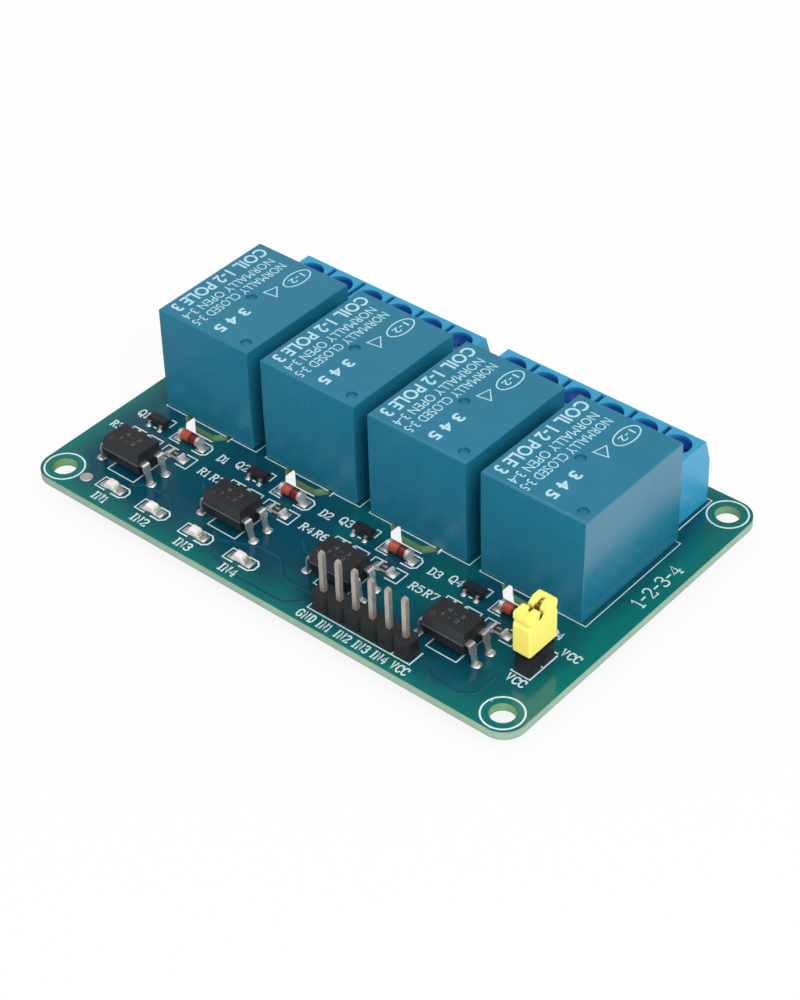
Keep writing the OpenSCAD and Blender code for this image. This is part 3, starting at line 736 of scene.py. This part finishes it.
class RELAYBOARD_OT_legend(Operator):
    """Prints the outlines and names on the board"""

    bl_idname = "relayboard.legend"
    bl_label = "Board legend"

    THIN = 0.7
    COUNT_PLACE = (36.5, 6.05)

    def execute(self, context):
        sizes = context.scene.relay_board_marks
        letter, line, rise = sizes.letter / MM, sizes.line / MM, sizes.rise / MM
        lines = (BOARD_LINES + shifted(CHANNEL_LINES, RELAY_X)
                 + shifted(LAMP_LINES, LAMP_X, LAMP_Y))
        names = []
        for texts, middle in zip(CHANNEL_NAMES, RELAY_X):
            for text, (x, y) in zip(texts, NAME_PLACES):
                names += lettered(text, (x + middle, y), letter)
        for text, middle in BOARD_NAMES:
            names += lettered(text, middle, 0.95 * letter, width=0.92)
        for text, x in HEADER_NAMES:
            names += lettered(text, (x, HEADER_NAME_Y), letter, width=HEADER_NAME_WIDTH)
        for number, x in enumerate(LAMP_X, 1):
            names += lettered(f"IN{number}", (x, LAMP_Y + LAMP_NAME_DROP), letter)
        names += lettered("1-2-3-4", self.COUNT_PLACE, 1.5 * letter, math.radians(90))
        rings = [ring(middle, HOLE_RING_RADIUS, HOLE_RING_RADIUS) for middle in HOLE_MIDDLES]
        thin = TERMINAL_LINES + shifted(RELAY_LINES, RELAY_X)
        ink = inked("legend_ink", context.scene.relay_board_colours.legend, (0.45, 0.6))
        for name, runs, width, closed in (
            ("part_outlines", lines, line, False),
            ("relay_outlines", thin, self.THIN * line, False),
            ("legend_rings", rings, sizes.ring / MM, True),
            ("legend_names", names, sizes.stroke / MM, False),
        ):
            fitted(ink_lines(name, runs, width, BOARD_TOP, rise, closed), ink)
        return {"FINISHED"}


class RELAYBOARD_OT_relays(Operator):
    """Finishes the relays and prints what each terminal does on them"""

    bl_idname = "relayboard.relays"
    bl_label = "Relays"

    # Half the thickness of the print, and how far it stands off the cover
    DEPTH = 0.01
    SHOW = 0.004
    # Text, middle, length and height, and weight, from the middle of a relay
    LINES = [
        ("COIL 1-2 POLE 3", (-5.95, 5.0), (16.8, 1.95), 0.02),
        ("NORMALLY OPEN 3-4", (-3.65, 4.2), (16.3, 1.4), 0.0),
        ("NORMALLY CLOSED 3-5", (-1.75, 4.2), (16.6, 1.4), 0.0),
        ("1-2", (1.7, 11.3), (2.4, 1.05), 0.01),
        ("3 4 5", (1.45, -0.6), (5.6, 1.7), 0.03),
    ]
    OVAL = ring((1.7, 11.3), 1.2, 2.25)
    TRIANGLE = [(0.95, 8.3), (0.45, 6.3), (2.45, 6.65)]
    OVAL_LINE = 0.3
    TRIANGLE_LINE = 0.5

    def execute(self, context):
        colours = context.scene.relay_board_plastics
        cover = moulded("relay_cover", colours.relay, (0.2, 0.3), 2600.0, 0.006, 0.05, ior=1.55)
        wear(cover, "relay", ends=CHANNELS)
        level = RELAY_TOP + self.SHOW - self.DEPTH
        turn = math.radians(-90)
        parts = [words(text, middle, size, level, self.DEPTH, turn, weight)
                 for text, middle, size, weight in self.LINES]
        for run, width in ((self.OVAL, self.OVAL_LINE), (self.TRIANGLE, self.TRIANGLE_LINE)):
            parts.append(ink_lines("outline", [run], width, level, self.DEPTH, True))
        ink = inked("relay_ink", colours.relay_print)
        for printed in repeated(joined(parts, "relay_print"), "relay_print", RELAY_X):
            fitted(printed, ink)
        return {"FINISHED"}


class RELAYBOARD_OT_terminals(Operator):
    """Finishes the terminal blocks and their metal"""

    bl_idname = "relayboard.terminals"
    bl_label = "Terminal blocks"

    PITCH = 5.08
    ROW_HALF = 15.1
    WELL_RADIUS = 1.95
    RIB_HALF = 0.34
    # Depths between which the painted shade, a deeper blue, fades out towards the top
    SHADE_DEPTH = (0.7, 0.05)

    def execute(self, context):
        metals = context.scene.relay_board_metals
        zinc = plated("zinc_plate", metals.zinc, (0.3, 0.45), 2200.0, 0.01)
        tin = plated("tinned_strip", metals.tin, (0.25, 0.4))
        housing = self.housing(context.scene.relay_board_plastics)
        wear(housing, "terminal_housing", ends=SIDES)
        wear(zinc, "clamp_screws", "clamp_cages", ends=SIDES)
        wear(tin, "terminal_contacts", ends=SIDES)
        return {"FINISHED"}

    def housing(self, colours):
        """Satin plastic, with painted shade: a deeper blue down in the wells and rib slots."""
        finish = Finish("terminal_housing", ior=1.5)
        x, y, z = finish.axes()
        middles = [centre(f"terminal_housing_{side}").x for side in SIDES]
        shift = finish.ramp(finish.above(x, 0.0), 0, 1, *middles)
        across = finish.maths("SUBTRACT", x, shift)
        half = self.PITCH / 2
        beside = finish.away(finish.maths("WRAP", across, self.PITCH, 0.0), half)
        back = finish.maths("SUBTRACT", y, centre("clamp_screws_left").y)
        well_shade = finish.below(finish.distance(beside, back), self.WELL_RADIUS)
        rib = finish.above(beside, half - self.RIB_HALF)
        top = span("terminal_housing_left")[1].z
        sunk = finish.fade(z, *[top - depth for depth in self.SHADE_DEPTH])
        row = finish.below(finish.away(across), self.ROW_HALF)
        # Painted shade: deeper blue in the wells and rib slots, fading out towards the top
        painted_shade = finish.product(finish.maths("MAXIMUM", well_shade, rib), sunk, row)
        base = finish.blend(painted_shade, finish.tinted(colours.terminal), colours.well_shade)
        return finish.skin(base, 1800.0, (0.26, 0.38), 0.008)


class RELAYBOARD_OT_solder(Operator):
    """Lays solder fillets on the pads and finishes the joints under the board"""

    bl_idname = "relayboard.solder"
    bl_label = "Solder"

    # Of each kind of mound: its width and depth, its share of the height, and its lean
    SIZE = {"lead": (1.5, 1.5), "diode": (1.3, 1.5), "chip": (1.25, 1.35), "lamp": (1.3, 1.35),
            "leg": (0.85, 0.95), "spot": (1.9, 1.9)}
    RISE = {"lead": 1, "diode": 0.9, "chip": 0.8, "lamp": 0.3, "leg": 1, "spot": 0.1}
    LEAN = {"lead": 0.1, "diode": -0.3, "chip": -0.35, "lamp": -0.35}
    SQUARE = ("lamp", "chip", "diode")
    SPOT = (-31.7, -22.05)
    DIODE_Y = -8.75
    # Places of a transistor's pads from its relay's middle, two in front and one behind
    LEG_X, LEG_STEP, FRONT_Y, BACK_Y, LEG_LEAN = -5.4, 0.95, -9.5, -7.4, 0.1
    # A mound starts as a thin plate. Its top is drawn in and up in steps, which are shares of
    # its height and lean, and then it is lifted a little off the board's top.
    PLATE = 0.1
    STEPS = (0.45, 0.35)
    INSET = 0.2
    LIFT = 0.03

    def execute(self, context):
        solder = plated("solder", context.scene.relay_board_metals.solder, (0.22, 0.38), 1500.0,
                        0.02, 0.8, 0.8)
        wear(solder, "solder_joints")
        height = context.scene.relay_board_marks.fillet / MM
        mounds = []
        for kind, lean, places in self.pads():
            mound = self.mound(kind, height * self.RISE[kind], lean)
            mounds += [copied(mound, kind, x, y) for x, y in places]
            bpy.data.objects.remove(mound)
        fillets = fitted(joined(mounds, "solder_fillets"), solder)
        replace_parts(fillets, "solder_pads")
        return {"FINISHED"}

    def pads(self):
        """Kind, side that the solder climbs, and places of the pads."""
        rows = []
        for way in (-1, 1):
            places = {"lead": [], "diode": [], "chip": [], "lamp": []}
            for k, lamp_x in zip(CHANNELS, LAMP_X):
                body = centre(f"optocoupler_{k}")
                places["lead"] += [(body.x + way * 4.4, body.y + row * 1.27) for row in (-1, 1)]
                places["diode"].append((centre(f"diode_{k}").x + way * 2.0, self.DIODE_Y))
                for name in ("base_resistor", "input_resistor"):
                    chip = centre(f"{name}_{k}")
                    places["chip"].append((chip.x + way * 1.2, chip.y))
                places["lamp"].append((lamp_x + way * 1.2, LAMP_Y))
            rows += [(kind, (way * self.LEAN[kind], 0), spots) for kind, spots in places.items()]
        front = [(x + self.LEG_X + side * self.LEG_STEP, self.FRONT_Y)
                 for x in RELAY_X for side in (-1, 1)]
        back = [(x + self.LEG_X, self.BACK_Y) for x in RELAY_X]
        return rows + [("leg", (0, self.LEG_LEAN), front), ("leg", (0, -self.LEG_LEAN), back),
                       ("spot", (0, 0), [self.SPOT])]

    def mound(self, kind, height, lean):
        """One mound of solder, at the middle of the board, square or rounded."""
        size = self.SIZE[kind]
        piece = block((*size, self.PLATE))
        for share in self.STEPS:
            pick_end(piece)
            bpy.ops.mesh.inset(thickness=self.INSET * min(size))
            bpy.ops.transform.translate(value=[share * step for step in (*lean, height)])
        bpy.ops.object.mode_set(mode="OBJECT")
        if kind in self.SQUARE:
            shaped(piece, "BEVEL", width=0.09, segments=2)
        else:
            shaped(piece, "SUBSURF", levels=2)
        bpy.ops.object.shade_smooth_by_angle(angle=math.radians(60))
        return settle(piece, (0, 0, BOARD_TOP + self.LIFT))


class RELAYBOARD_OT_drivers(Operator):
    """Finishes the optocouplers, transistors, diodes and chip resistors"""

    bl_idname = "relayboard.drivers"
    bl_label = "Driver parts"

    # Height of the moulds' seam over the board, and how far its line fades to each side
    PARTING = 2.8
    SEAM = (0.03, 0.14)
    # Reach of the bare glass, and of a chip's coat, from its middle
    GLASS_HALF = 1.24
    COAT_HALF = 0.64
    CHIP_LIP = 0.05
    CHIPS = ("base_resistor_1", "input_resistor_1")
    # Width and wall of the diode's band, and its place from the middle
    BAND_SIZE = (0.3, 0.03)
    BAND_SHIFT = 0.28
    # Half the thickness of the printed marks
    INK = 0.004

    def execute(self, context):
        metals = context.scene.relay_board_metals
        tin = plated("tinned_leads", metals.tin, (0.22, 0.36), 1500.0, 0.012, 0.86, 0.85)
        epoxy = self.epoxy(context.scene.relay_board_plastics.epoxy)
        wear(epoxy, "optocoupler", "transistor", ends=CHANNELS)
        wear(tin, "optocoupler_leads", "relay_pins", ends=CHANNELS)
        wear(tin, "transistor_legs")
        wear(self.glass(), "diode", ends=CHANNELS)
        wear(self.chip(metals.tin), "base_resistor", "input_resistor", ends=CHANNELS)
        wear(self.end_cap(metals.tin), "diode_end_caps")
        self.bands()
        self.codes()
        return {"FINISHED"}

    def epoxy(self, rgb):
        """Black epoxy, greyer on its sides above the parting line where the mould released, with
        painted light that makes this grey and the pale seam strongest on faces turned to the
        front.
        """
        finish = Finish("black_epoxy")
        facing = finish.facing()
        side = finish.below(finish.away(facing[2]), 0.8)
        parting = finish.maths("SUBTRACT", finish.axes()[2], BOARD_TOP + self.PARTING)
        seam = finish.fade(finish.away(parting), *self.SEAM)
        # Painted light: the sides' grey and the pale seam are weighted to faces turned to the
        # front, where the light falls
        front = finish.maths("MAXIMUM", finish.product(facing[1], -1.0), 0.15)
        dark, grey = [finish.tinted([gain * part for part in rgb], 600.0, 0.1)
                      for gain in (1.0, 3.0)]
        base = finish.blend(finish.product(side, finish.above(parting, 0.0), front), dark, grey)
        pale = [14.0 * part for part in rgb]
        base = finish.blend(finish.product(seam, side, front), base, pale)
        return finish.skin(base, 5000.0, (0.4, 0.5), 0.006, 0.3)

    def glass(self):
        """Red diode glass, orange at one end and darker past the band."""
        finish = Finish("diode_glass", ior=1.5, roughness=0.16, transmission_weight=0.25)
        warm, deep = [finish.tinted(map(linear, levels), 700.0, 0.14)
                      for levels in ((206, 90, 74), (134, 32, 36))]
        share = finish.smooth(finish.along("diode_1"), -0.3, 0.6)
        return finish.feed(base_color=finish.blend(share, warm, deep))

    def end_cap(self, rgb):
        """Tin outside and red copper oxide where the stud runs inside the glass."""
        finish = Finish("diode_metal")
        inside = finish.below(finish.away(finish.along("diode_1")), self.GLASS_HALF)
        tin = finish.tinted(rgb, 500.0, 0.08)
        red = finish.tinted((0.62, 0.05, 0.03), 900.0, 0.15)
        return finish.feed(base_color=finish.blend(inside, tin, red),
                           metallic=finish.ramp(inside, 0, 1, 0.7, 0.0),
                           roughness=finish.ramp(inside, 0, 1, 0.34, 0.45))

    def chip(self, rgb):
        """Tinned ends, pale ceramic sides and a black coat on top."""
        finish = Finish("chip_resistor")
        away = [finish.away(finish.along(name)) for name in self.CHIPS]
        end = finish.above(finish.maths("MINIMUM", *away), self.COAT_HALF)
        up = finish.above(finish.facing()[2], 0.7)
        ceramic = finish.tinted((0.7, 0.68, 0.62), 900.0, 0.05)
        coat = finish.tinted((0.02, 0.022, 0.024), 900.0, 0.1)
        middle = finish.blend(up, ceramic, coat)
        tin = finish.tinted(rgb, 900.0, 0.1)
        return finish.feed(base_color=finish.blend(end, middle, tin),
                           metallic=finish.product(end, 0.35),
                           roughness=finish.ramp(end, 0, 1, 0.4, 0.36))

    def bands(self):
        """The dark band on each diode's glass."""
        low, high = span("diode_1")
        x, y, z = (low + high) / 2
        depth, wall = self.BAND_SIZE
        band = made(bpy.ops.mesh.primitive_cylinder_add, vertices=40, depth=depth,
                    radius=(high.z - low.z) / 2 + 0.01, end_fill_type="NOTHING",
                    rotation=(0, math.radians(90), 0))
        shaped(band, "SOLIDIFY", thickness=wall, offset=0)
        bake(rotation=True)
        bpy.ops.object.shade_smooth_by_angle(angle=math.radians(40))
        settle(band, (x + self.BAND_SHIFT, y, z))
        ink = inked("band_ink", (0.03, 0.012, 0.012), (0.25, 0.35))
        fitted(joined(repeated(band, "band", CHANNEL_STEPS), "diode_bands"), ink)

    def codes(self):
        """Plain numbers on the resistors and faint ones on the optocouplers."""
        top = span(self.CHIPS[0])[1].z - self.CHIP_LIP - self.INK / 2
        codes = [words("102", centre(name).xy, (0.7, 0.36), top, self.INK)
                 for name in self.CHIPS]
        self.mark(codes, "resistor_codes", inked("code_ink", (0.5, 0.5, 0.48)))
        top = span("optocoupler_1")[1].z
        x, y, _ = centre("optocoupler_1")
        faint = [words(text, (x, y + rise), (2.5, 0.62), top, self.INK, weight=0)
                 for text, rise in (("4 - 3", 0.5), ("1 - 2", -0.5))]
        dot = ring((x - 2.2, y - 1.15), 0.3, 0.3, 24)
        faint.append(ink_lines("dot", [dot], 0.06, top, self.INK, True))
        self.mark(faint, "optocoupler_marks", inked("faint_mark", (0.1, 0.1, 0.104)))

    def mark(self, parts, name, ink):
        """Repeats the first channel's marks along the board, as one piece."""
        fitted(joined(repeated(joined(parts, "mark"), "mark", CHANNEL_STEPS), name), ink)


class RELAYBOARD_OT_lamps(Operator):
    """Finishes the indicator lamps and adds their contacts and green marks"""

    bl_idname = "relayboard.lamps"
    bl_label = "Indicator lamps"

    LENS_LENGTH = 1.5
    LENS_HEIGHT = 0.5
    LENS_SHIFT = -0.12
    LENS_TAPER = (0.8, 0.84, 1)
    CONTACT_SIZE = (0.38, 1.1)
    CONTACT_REACH = 0.84
    # A T beside the lens, with its bar across the base and its stem to the end
    MARK = [[(0.66, -0.5), (0.66, 0.5)], [(0.66, 0), (0.9, 0)]]
    MARK_WIDTH = 0.1

    def execute(self, context):
        wear(inked("lamp_base", (0.78, 0.78, 0.7), (0.4, 0.5)), "led", ends=CHANNELS)
        self.lenses()
        low, high = span("led_1")
        x, y, z = (low + high) / 2
        contacts = []
        for way in (-1, 1):
            contact = block((*self.CONTACT_SIZE, high.z - low.z + 0.03))
            shaped(contact, "BEVEL", width=0.05, segments=2)
            contacts.append(settle(contact, (x + way * self.CONTACT_REACH, y, z)))
        pairs = repeated(joined(contacts, "pair"), "pair", LAMP_STEPS)
        tin = plated("lamp_contact", context.scene.relay_board_metals.tin, (0.2, 0.35))
        fitted(joined(pairs, "lamp_contacts"), tin)
        marks = ink_lines("lamp_marks", shifted(self.MARK, LAMP_X, LAMP_Y), self.MARK_WIDTH,
                          high.z + 0.01, 0.02)
        fitted(marks, inked("lamp_mark", (0.08, 0.5, 0.16), (0.4, 0.5)))
        return {"FINISHED"}

    def lenses(self):
        """Low milky lenses with rounded edges, over the plain ones."""
        low, high = span("led_lenses")
        lens = block((self.LENS_LENGTH, high.y - low.y, self.LENS_HEIGHT))
        pick_end(lens)
        bpy.ops.transform.resize(value=self.LENS_TAPER)
        bpy.ops.object.mode_set(mode="OBJECT")
        shaped(lens, "BEVEL", width=0.13, segments=3)
        bpy.ops.object.shade_smooth_by_angle(angle=math.radians(60))
        settle(lens, (LAMP_X[0] + self.LENS_SHIFT, LAMP_Y, low.z + self.LENS_HEIGHT / 2))
        row = joined(repeated(lens, "lens", LAMP_STEPS), "lamp_lenses")
        finish = Finish("lamp_lens", ior=1.5, roughness=0.14, transmission_weight=0.12)
        milk = finish.feed(base_color=finish.tinted((0.93, 0.89, 0.86), 900.0, 0.08))
        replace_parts(fitted(row, milk), "led_lenses")


class RELAYBOARD_OT_headers(Operator):
    """Finishes the pin headers and the jumper"""

    bl_idname = "relayboard.headers"
    bl_label = "Headers and jumper"

    # Painted shade in the cap, brown between the ears, as steps that it fades over: along from the
    # middle to the front and to the back, aside from the middle, and down from the top
    SHADES = [
        ((-1.1, -0.95), (0.0, 0.5), (1.16, 1.24), (0.35, 1.0)),
        ((-1.1, -0.9), (1.5, 1.9), (0.3, 0.5), (0.2, 0.6)),
    ]
    # The wedge that opens the split, its lower edge drawn to the front
    WEDGE = (4.0, 1.8, 1.4)
    WEDGE_EDGE = (1, 0.14, 1)
    WEDGE_LEAN = (0, -1.225, 0)
    WEDGE_BACK, WEDGE_DROP = 0.4, 0.6
    # Reach of each bridge between the ears, along from the middle, and its drop from the top
    BRIDGES = [(-2.5, -1.1, 0.3), (1.75, 2.5, 0.06)]
    BRIDGE_WIDTH, BRIDGE_HEIGHT = 0.9, 0.8
    CELL = 0.09
    SOFTENING = 14

    def execute(self, context):
        plastics = context.scene.relay_board_plastics
        metals = context.scene.relay_board_metals
        black = moulded("header_plastic", plastics.header, (0.34, 0.48), 2500.0, 0.01, 0.04)
        pins = plated("header_pins", metals.pin, (0.26, 0.4), 1500.0, 0.01, 0.85, 0.65)
        wear(black, "input_header_strip", "jumper_header_strip")
        wear(pins, "input_header_pins", "jumper_header_pins")
        wear(plated("contact_brass", metals.brass), "jumper_contact")
        self.cap(self.jumper_plastic(plastics.jumper))
        return {"FINISHED"}

    def jumper_plastic(self, rgb):
        """Satin yellow plastic, with painted shade: brown between the ears."""
        finish = Finish("jumper_plastic")
        low, high = span("jumper_cap")
        middle = (low + high) / 2
        x, y, z = finish.axes()
        aside = finish.away(x, middle.x)
        along = finish.maths("SUBTRACT", y, middle.y)
        depth = finish.maths("SUBTRACT", high.z, z)
        shades = [finish.product(finish.smooth(along, *front), finish.fade(along, *back),
                                 finish.smooth(depth, *down), finish.fade(aside, *side))
                  for front, back, side, down in self.SHADES]
        # Painted shade: brown where the split between the ears lies in shadow
        brown = map(linear, (118, 84, 14))
        base = finish.blend(finish.maths("MAXIMUM", *shades), finish.tinted(rgb), brown)
        return finish.skin(base, 2200.0, (0.36, 0.48), 0.01)

    def cap(self, plastic):
        """The jumper cap, its moulded edges soft and its split opened out between the ears."""
        skin = copied(NODES["jumper_cap"], "jumper_cap_skin")
        bpy.ops.object.mode_set(mode="EDIT")
        bpy.ops.mesh.select_all(action="SELECT")
        bpy.ops.mesh.remove_doubles(threshold=0.001 * MM)
        bpy.ops.object.mode_set(mode="OBJECT")
        low, high = span("jumper_cap")
        x, y, top = (low.x + high.x) / 2, (low.y + high.y) / 2, high.z
        wedge = block(self.WEDGE)
        pick_end(wedge, -1)
        bpy.ops.transform.resize(value=self.WEDGE_EDGE)
        bpy.ops.transform.translate(value=self.WEDGE_LEAN)
        bpy.ops.object.mode_set(mode="OBJECT")
        settle(wedge, (x, y + self.WEDGE_BACK, top - self.WEDGE_DROP))
        shaped(skin, "BOOLEAN", operation="DIFFERENCE", object=wedge)
        bpy.data.objects.remove(wedge)
        parts = [skin]
        for near, far, drop in self.BRIDGES:
            bridge = block((self.BRIDGE_WIDTH, far - near, self.BRIDGE_HEIGHT))
            place = (x, y + (near + far) / 2, top - drop - self.BRIDGE_HEIGHT / 2)
            parts.append(settle(bridge, place))
        skin = joined(parts, "jumper_cap_skin")
        shaped(skin, "REMESH", mode="VOXEL", voxel_size=self.CELL * MM)
        shaped(skin, "SMOOTH", factor=0.5, iterations=self.SOFTENING)
        bpy.ops.object.shade_smooth()
        fitted(skin, plastic, "jumper")
        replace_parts(skin, "jumper_cap")


class RELAYBOARD_OT_stage(Operator):
    """Sets the floor, the light and the camera"""

    bl_idname = "relayboard.stage"
    bl_label = "Stage"

    # Place in metres, turns in degrees, and shift of the camera
    CAMERA_PLACE = (0.161404, -0.181133, 0.201350)
    CAMERA_TURNS = (50.32298, 1.57199, 40.41890)
    CAMERA_SHIFT = (0.012345, -0.005191)
    KEY_PLACE = (0.52, -0.25, 0.6)
    FILL_PLACE = (-0.1, -0.7, 0.4)
    FILL_SHARE = 0.22
    LAMP_SIZE = 0.5
    FLOOR_SIZE = 6
    FLOOR_GLOW = 0.88
    # X over which the mirrored floor brightens
    FLOOR_REACH = (-20, 50)

    def execute(self, context):
        setup = context.scene.relay_board_stage
        self.floor()
        self.sky(setup.sky)
        self.lamp("key", self.KEY_PLACE, setup.key_power)
        self.lamp("fill", self.FILL_PLACE, setup.key_power * self.FILL_SHARE)
        camera = made(bpy.ops.object.camera_add, location=self.CAMERA_PLACE,
                      rotation=[math.radians(turn) for turn in self.CAMERA_TURNS])
        lens = camera.data
        lens.sensor_fit = "HORIZONTAL"
        lens.sensor_width = 36
        lens.lens = setup.focal_length
        lens.shift_x, lens.shift_y = self.CAMERA_SHIFT
        lens.clip_start = 0.01
        context.scene.camera = camera
        context.scene.view_settings.view_transform = "Standard"
        return {"FINISHED"}

    def floor(self):
        """A wide pale floor under the lowest pins, white to the camera and to gloss."""
        lowest = min(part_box(name)[0].z for name in NODES)
        plane = made(bpy.ops.mesh.primitive_plane_add, size=self.FLOOR_SIZE,
                     location=(0, 0, lowest))
        plane.name = "floor"
        bake(location=True)
        finish = Finish("pale_floor", roughness=0.9)
        finish.feed(base_color=finish.tinted((0.82, 0.82, 0.82), 3.0, 0.01))
        seen, glossy = finish.rays()
        mirrored = finish.ramp(finish.axes()[0], *self.FLOOR_REACH, 0.2, 1.2)
        level = finish.blend(glossy, (1, 1, 1), mirrored)
        glow = finish.add("Emission", (("Color", level),))
        share = finish.maths("MAXIMUM", finish.product(seen, self.FLOOR_GLOW), glossy)
        mixed = finish.add("MixShader", ((0, share), (1, finish.shader.outputs[0]),
                                         (2, glow.outputs[0])))
        finish.join(mixed.outputs[0], finish.tree.nodes["Material Output"].inputs["Surface"])
        plane.data.materials.append(finish.material)

    def sky(self, strength):
        """Even light from all round, white where it is seen, and mirrored darker overhead."""
        world = bpy.data.worlds.new("studio")
        world.use_nodes = True
        bpy.context.scene.world = world
        wiring = Wiring(world.node_tree)
        seen, glossy = wiring.rays()
        way = wiring.add("TexCoord").outputs["Generated"]
        up = wiring.add("SeparateXYZ", ((0, way),)).outputs[2]
        mirrored = wiring.ramp(wiring.smooth(up, 0.58, 0.66), 0, 1, 0.55, 0.08)
        overhead = wiring.product(wiring.smooth(up, 0.76, 0.86), 1.5)
        mirrored = wiring.maths("ADD", mirrored, overhead)
        level = wiring.blend(glossy, (strength,) * 3, mirrored)
        background = world.node_tree.nodes["Background"]
        wiring.join(wiring.blend(seen, level, (1, 1, 1)), background.inputs["Color"])
        background.inputs["Strength"].default_value = 1

    def lamp(self, name, place, power):
        """A square soft lamp that faces the board."""
        aim = (-Vector(place)).to_track_quat("-Z", "Y").to_euler()
        lamp = made(bpy.ops.object.light_add, type="AREA", location=place, rotation=aim)
        lamp.name = name
        lamp.data.size = self.LAMP_SIZE
        lamp.data.energy = power


class RELAYBOARD_PT_panel(Panel):
    """Lists the colours, sizes and makers"""

    bl_idname = "RELAYBOARD_PT_panel"
    bl_label = "Relay board"
    bl_space_type = "VIEW_3D"
    bl_region_type = "UI"
    bl_category = "Relay board"

    def draw(self, context):
        for name, group in SETTINGS.items():
            box = self.layout.box()
            for key in group.__annotations__:
                box.prop(getattr(context.scene, name), key)
        for maker in MAKERS:
            self.layout.operator(maker.bl_idname)


SETTINGS = {
    "relay_board_colours": BoardColours,
    "relay_board_plastics": PlasticColours,
    "relay_board_metals": MetalColours,
    "relay_board_marks": MarkSizes,
    "relay_board_stage": StageSetup,
}
MAKERS = (
    RELAYBOARD_OT_board,
    RELAYBOARD_OT_legend,
    RELAYBOARD_OT_relays,
    RELAYBOARD_OT_terminals,
    RELAYBOARD_OT_solder,
    RELAYBOARD_OT_drivers,
    RELAYBOARD_OT_lamps,
    RELAYBOARD_OT_headers,
    RELAYBOARD_OT_stage,
)


def register():
    """Registers the settings, makers and panel."""
    for item in (*SETTINGS.values(), *MAKERS, RELAYBOARD_PT_panel):
        bpy.utils.register_class(item)
    for name, group in SETTINGS.items():
        setattr(bpy.types.Scene, name, PointerProperty(type=group))


def unregister():
    """Takes them out again."""
    for name in SETTINGS:
        delattr(bpy.types.Scene, name)
    for item in reversed((*SETTINGS.values(), *MAKERS, RELAYBOARD_PT_panel)):
        bpy.utils.unregister_class(item)


def main():
    """Registers the settings, makes the shared effects and runs the makers in order."""
    register()
    for make in (make_cloudy_tint, make_surface_grain, make_lint):
        make()
    for maker in MAKERS:
        group, action = maker.bl_idname.split(".")
        getattr(getattr(bpy.ops, group), action)()


if __name__ == "__main__":
    main()
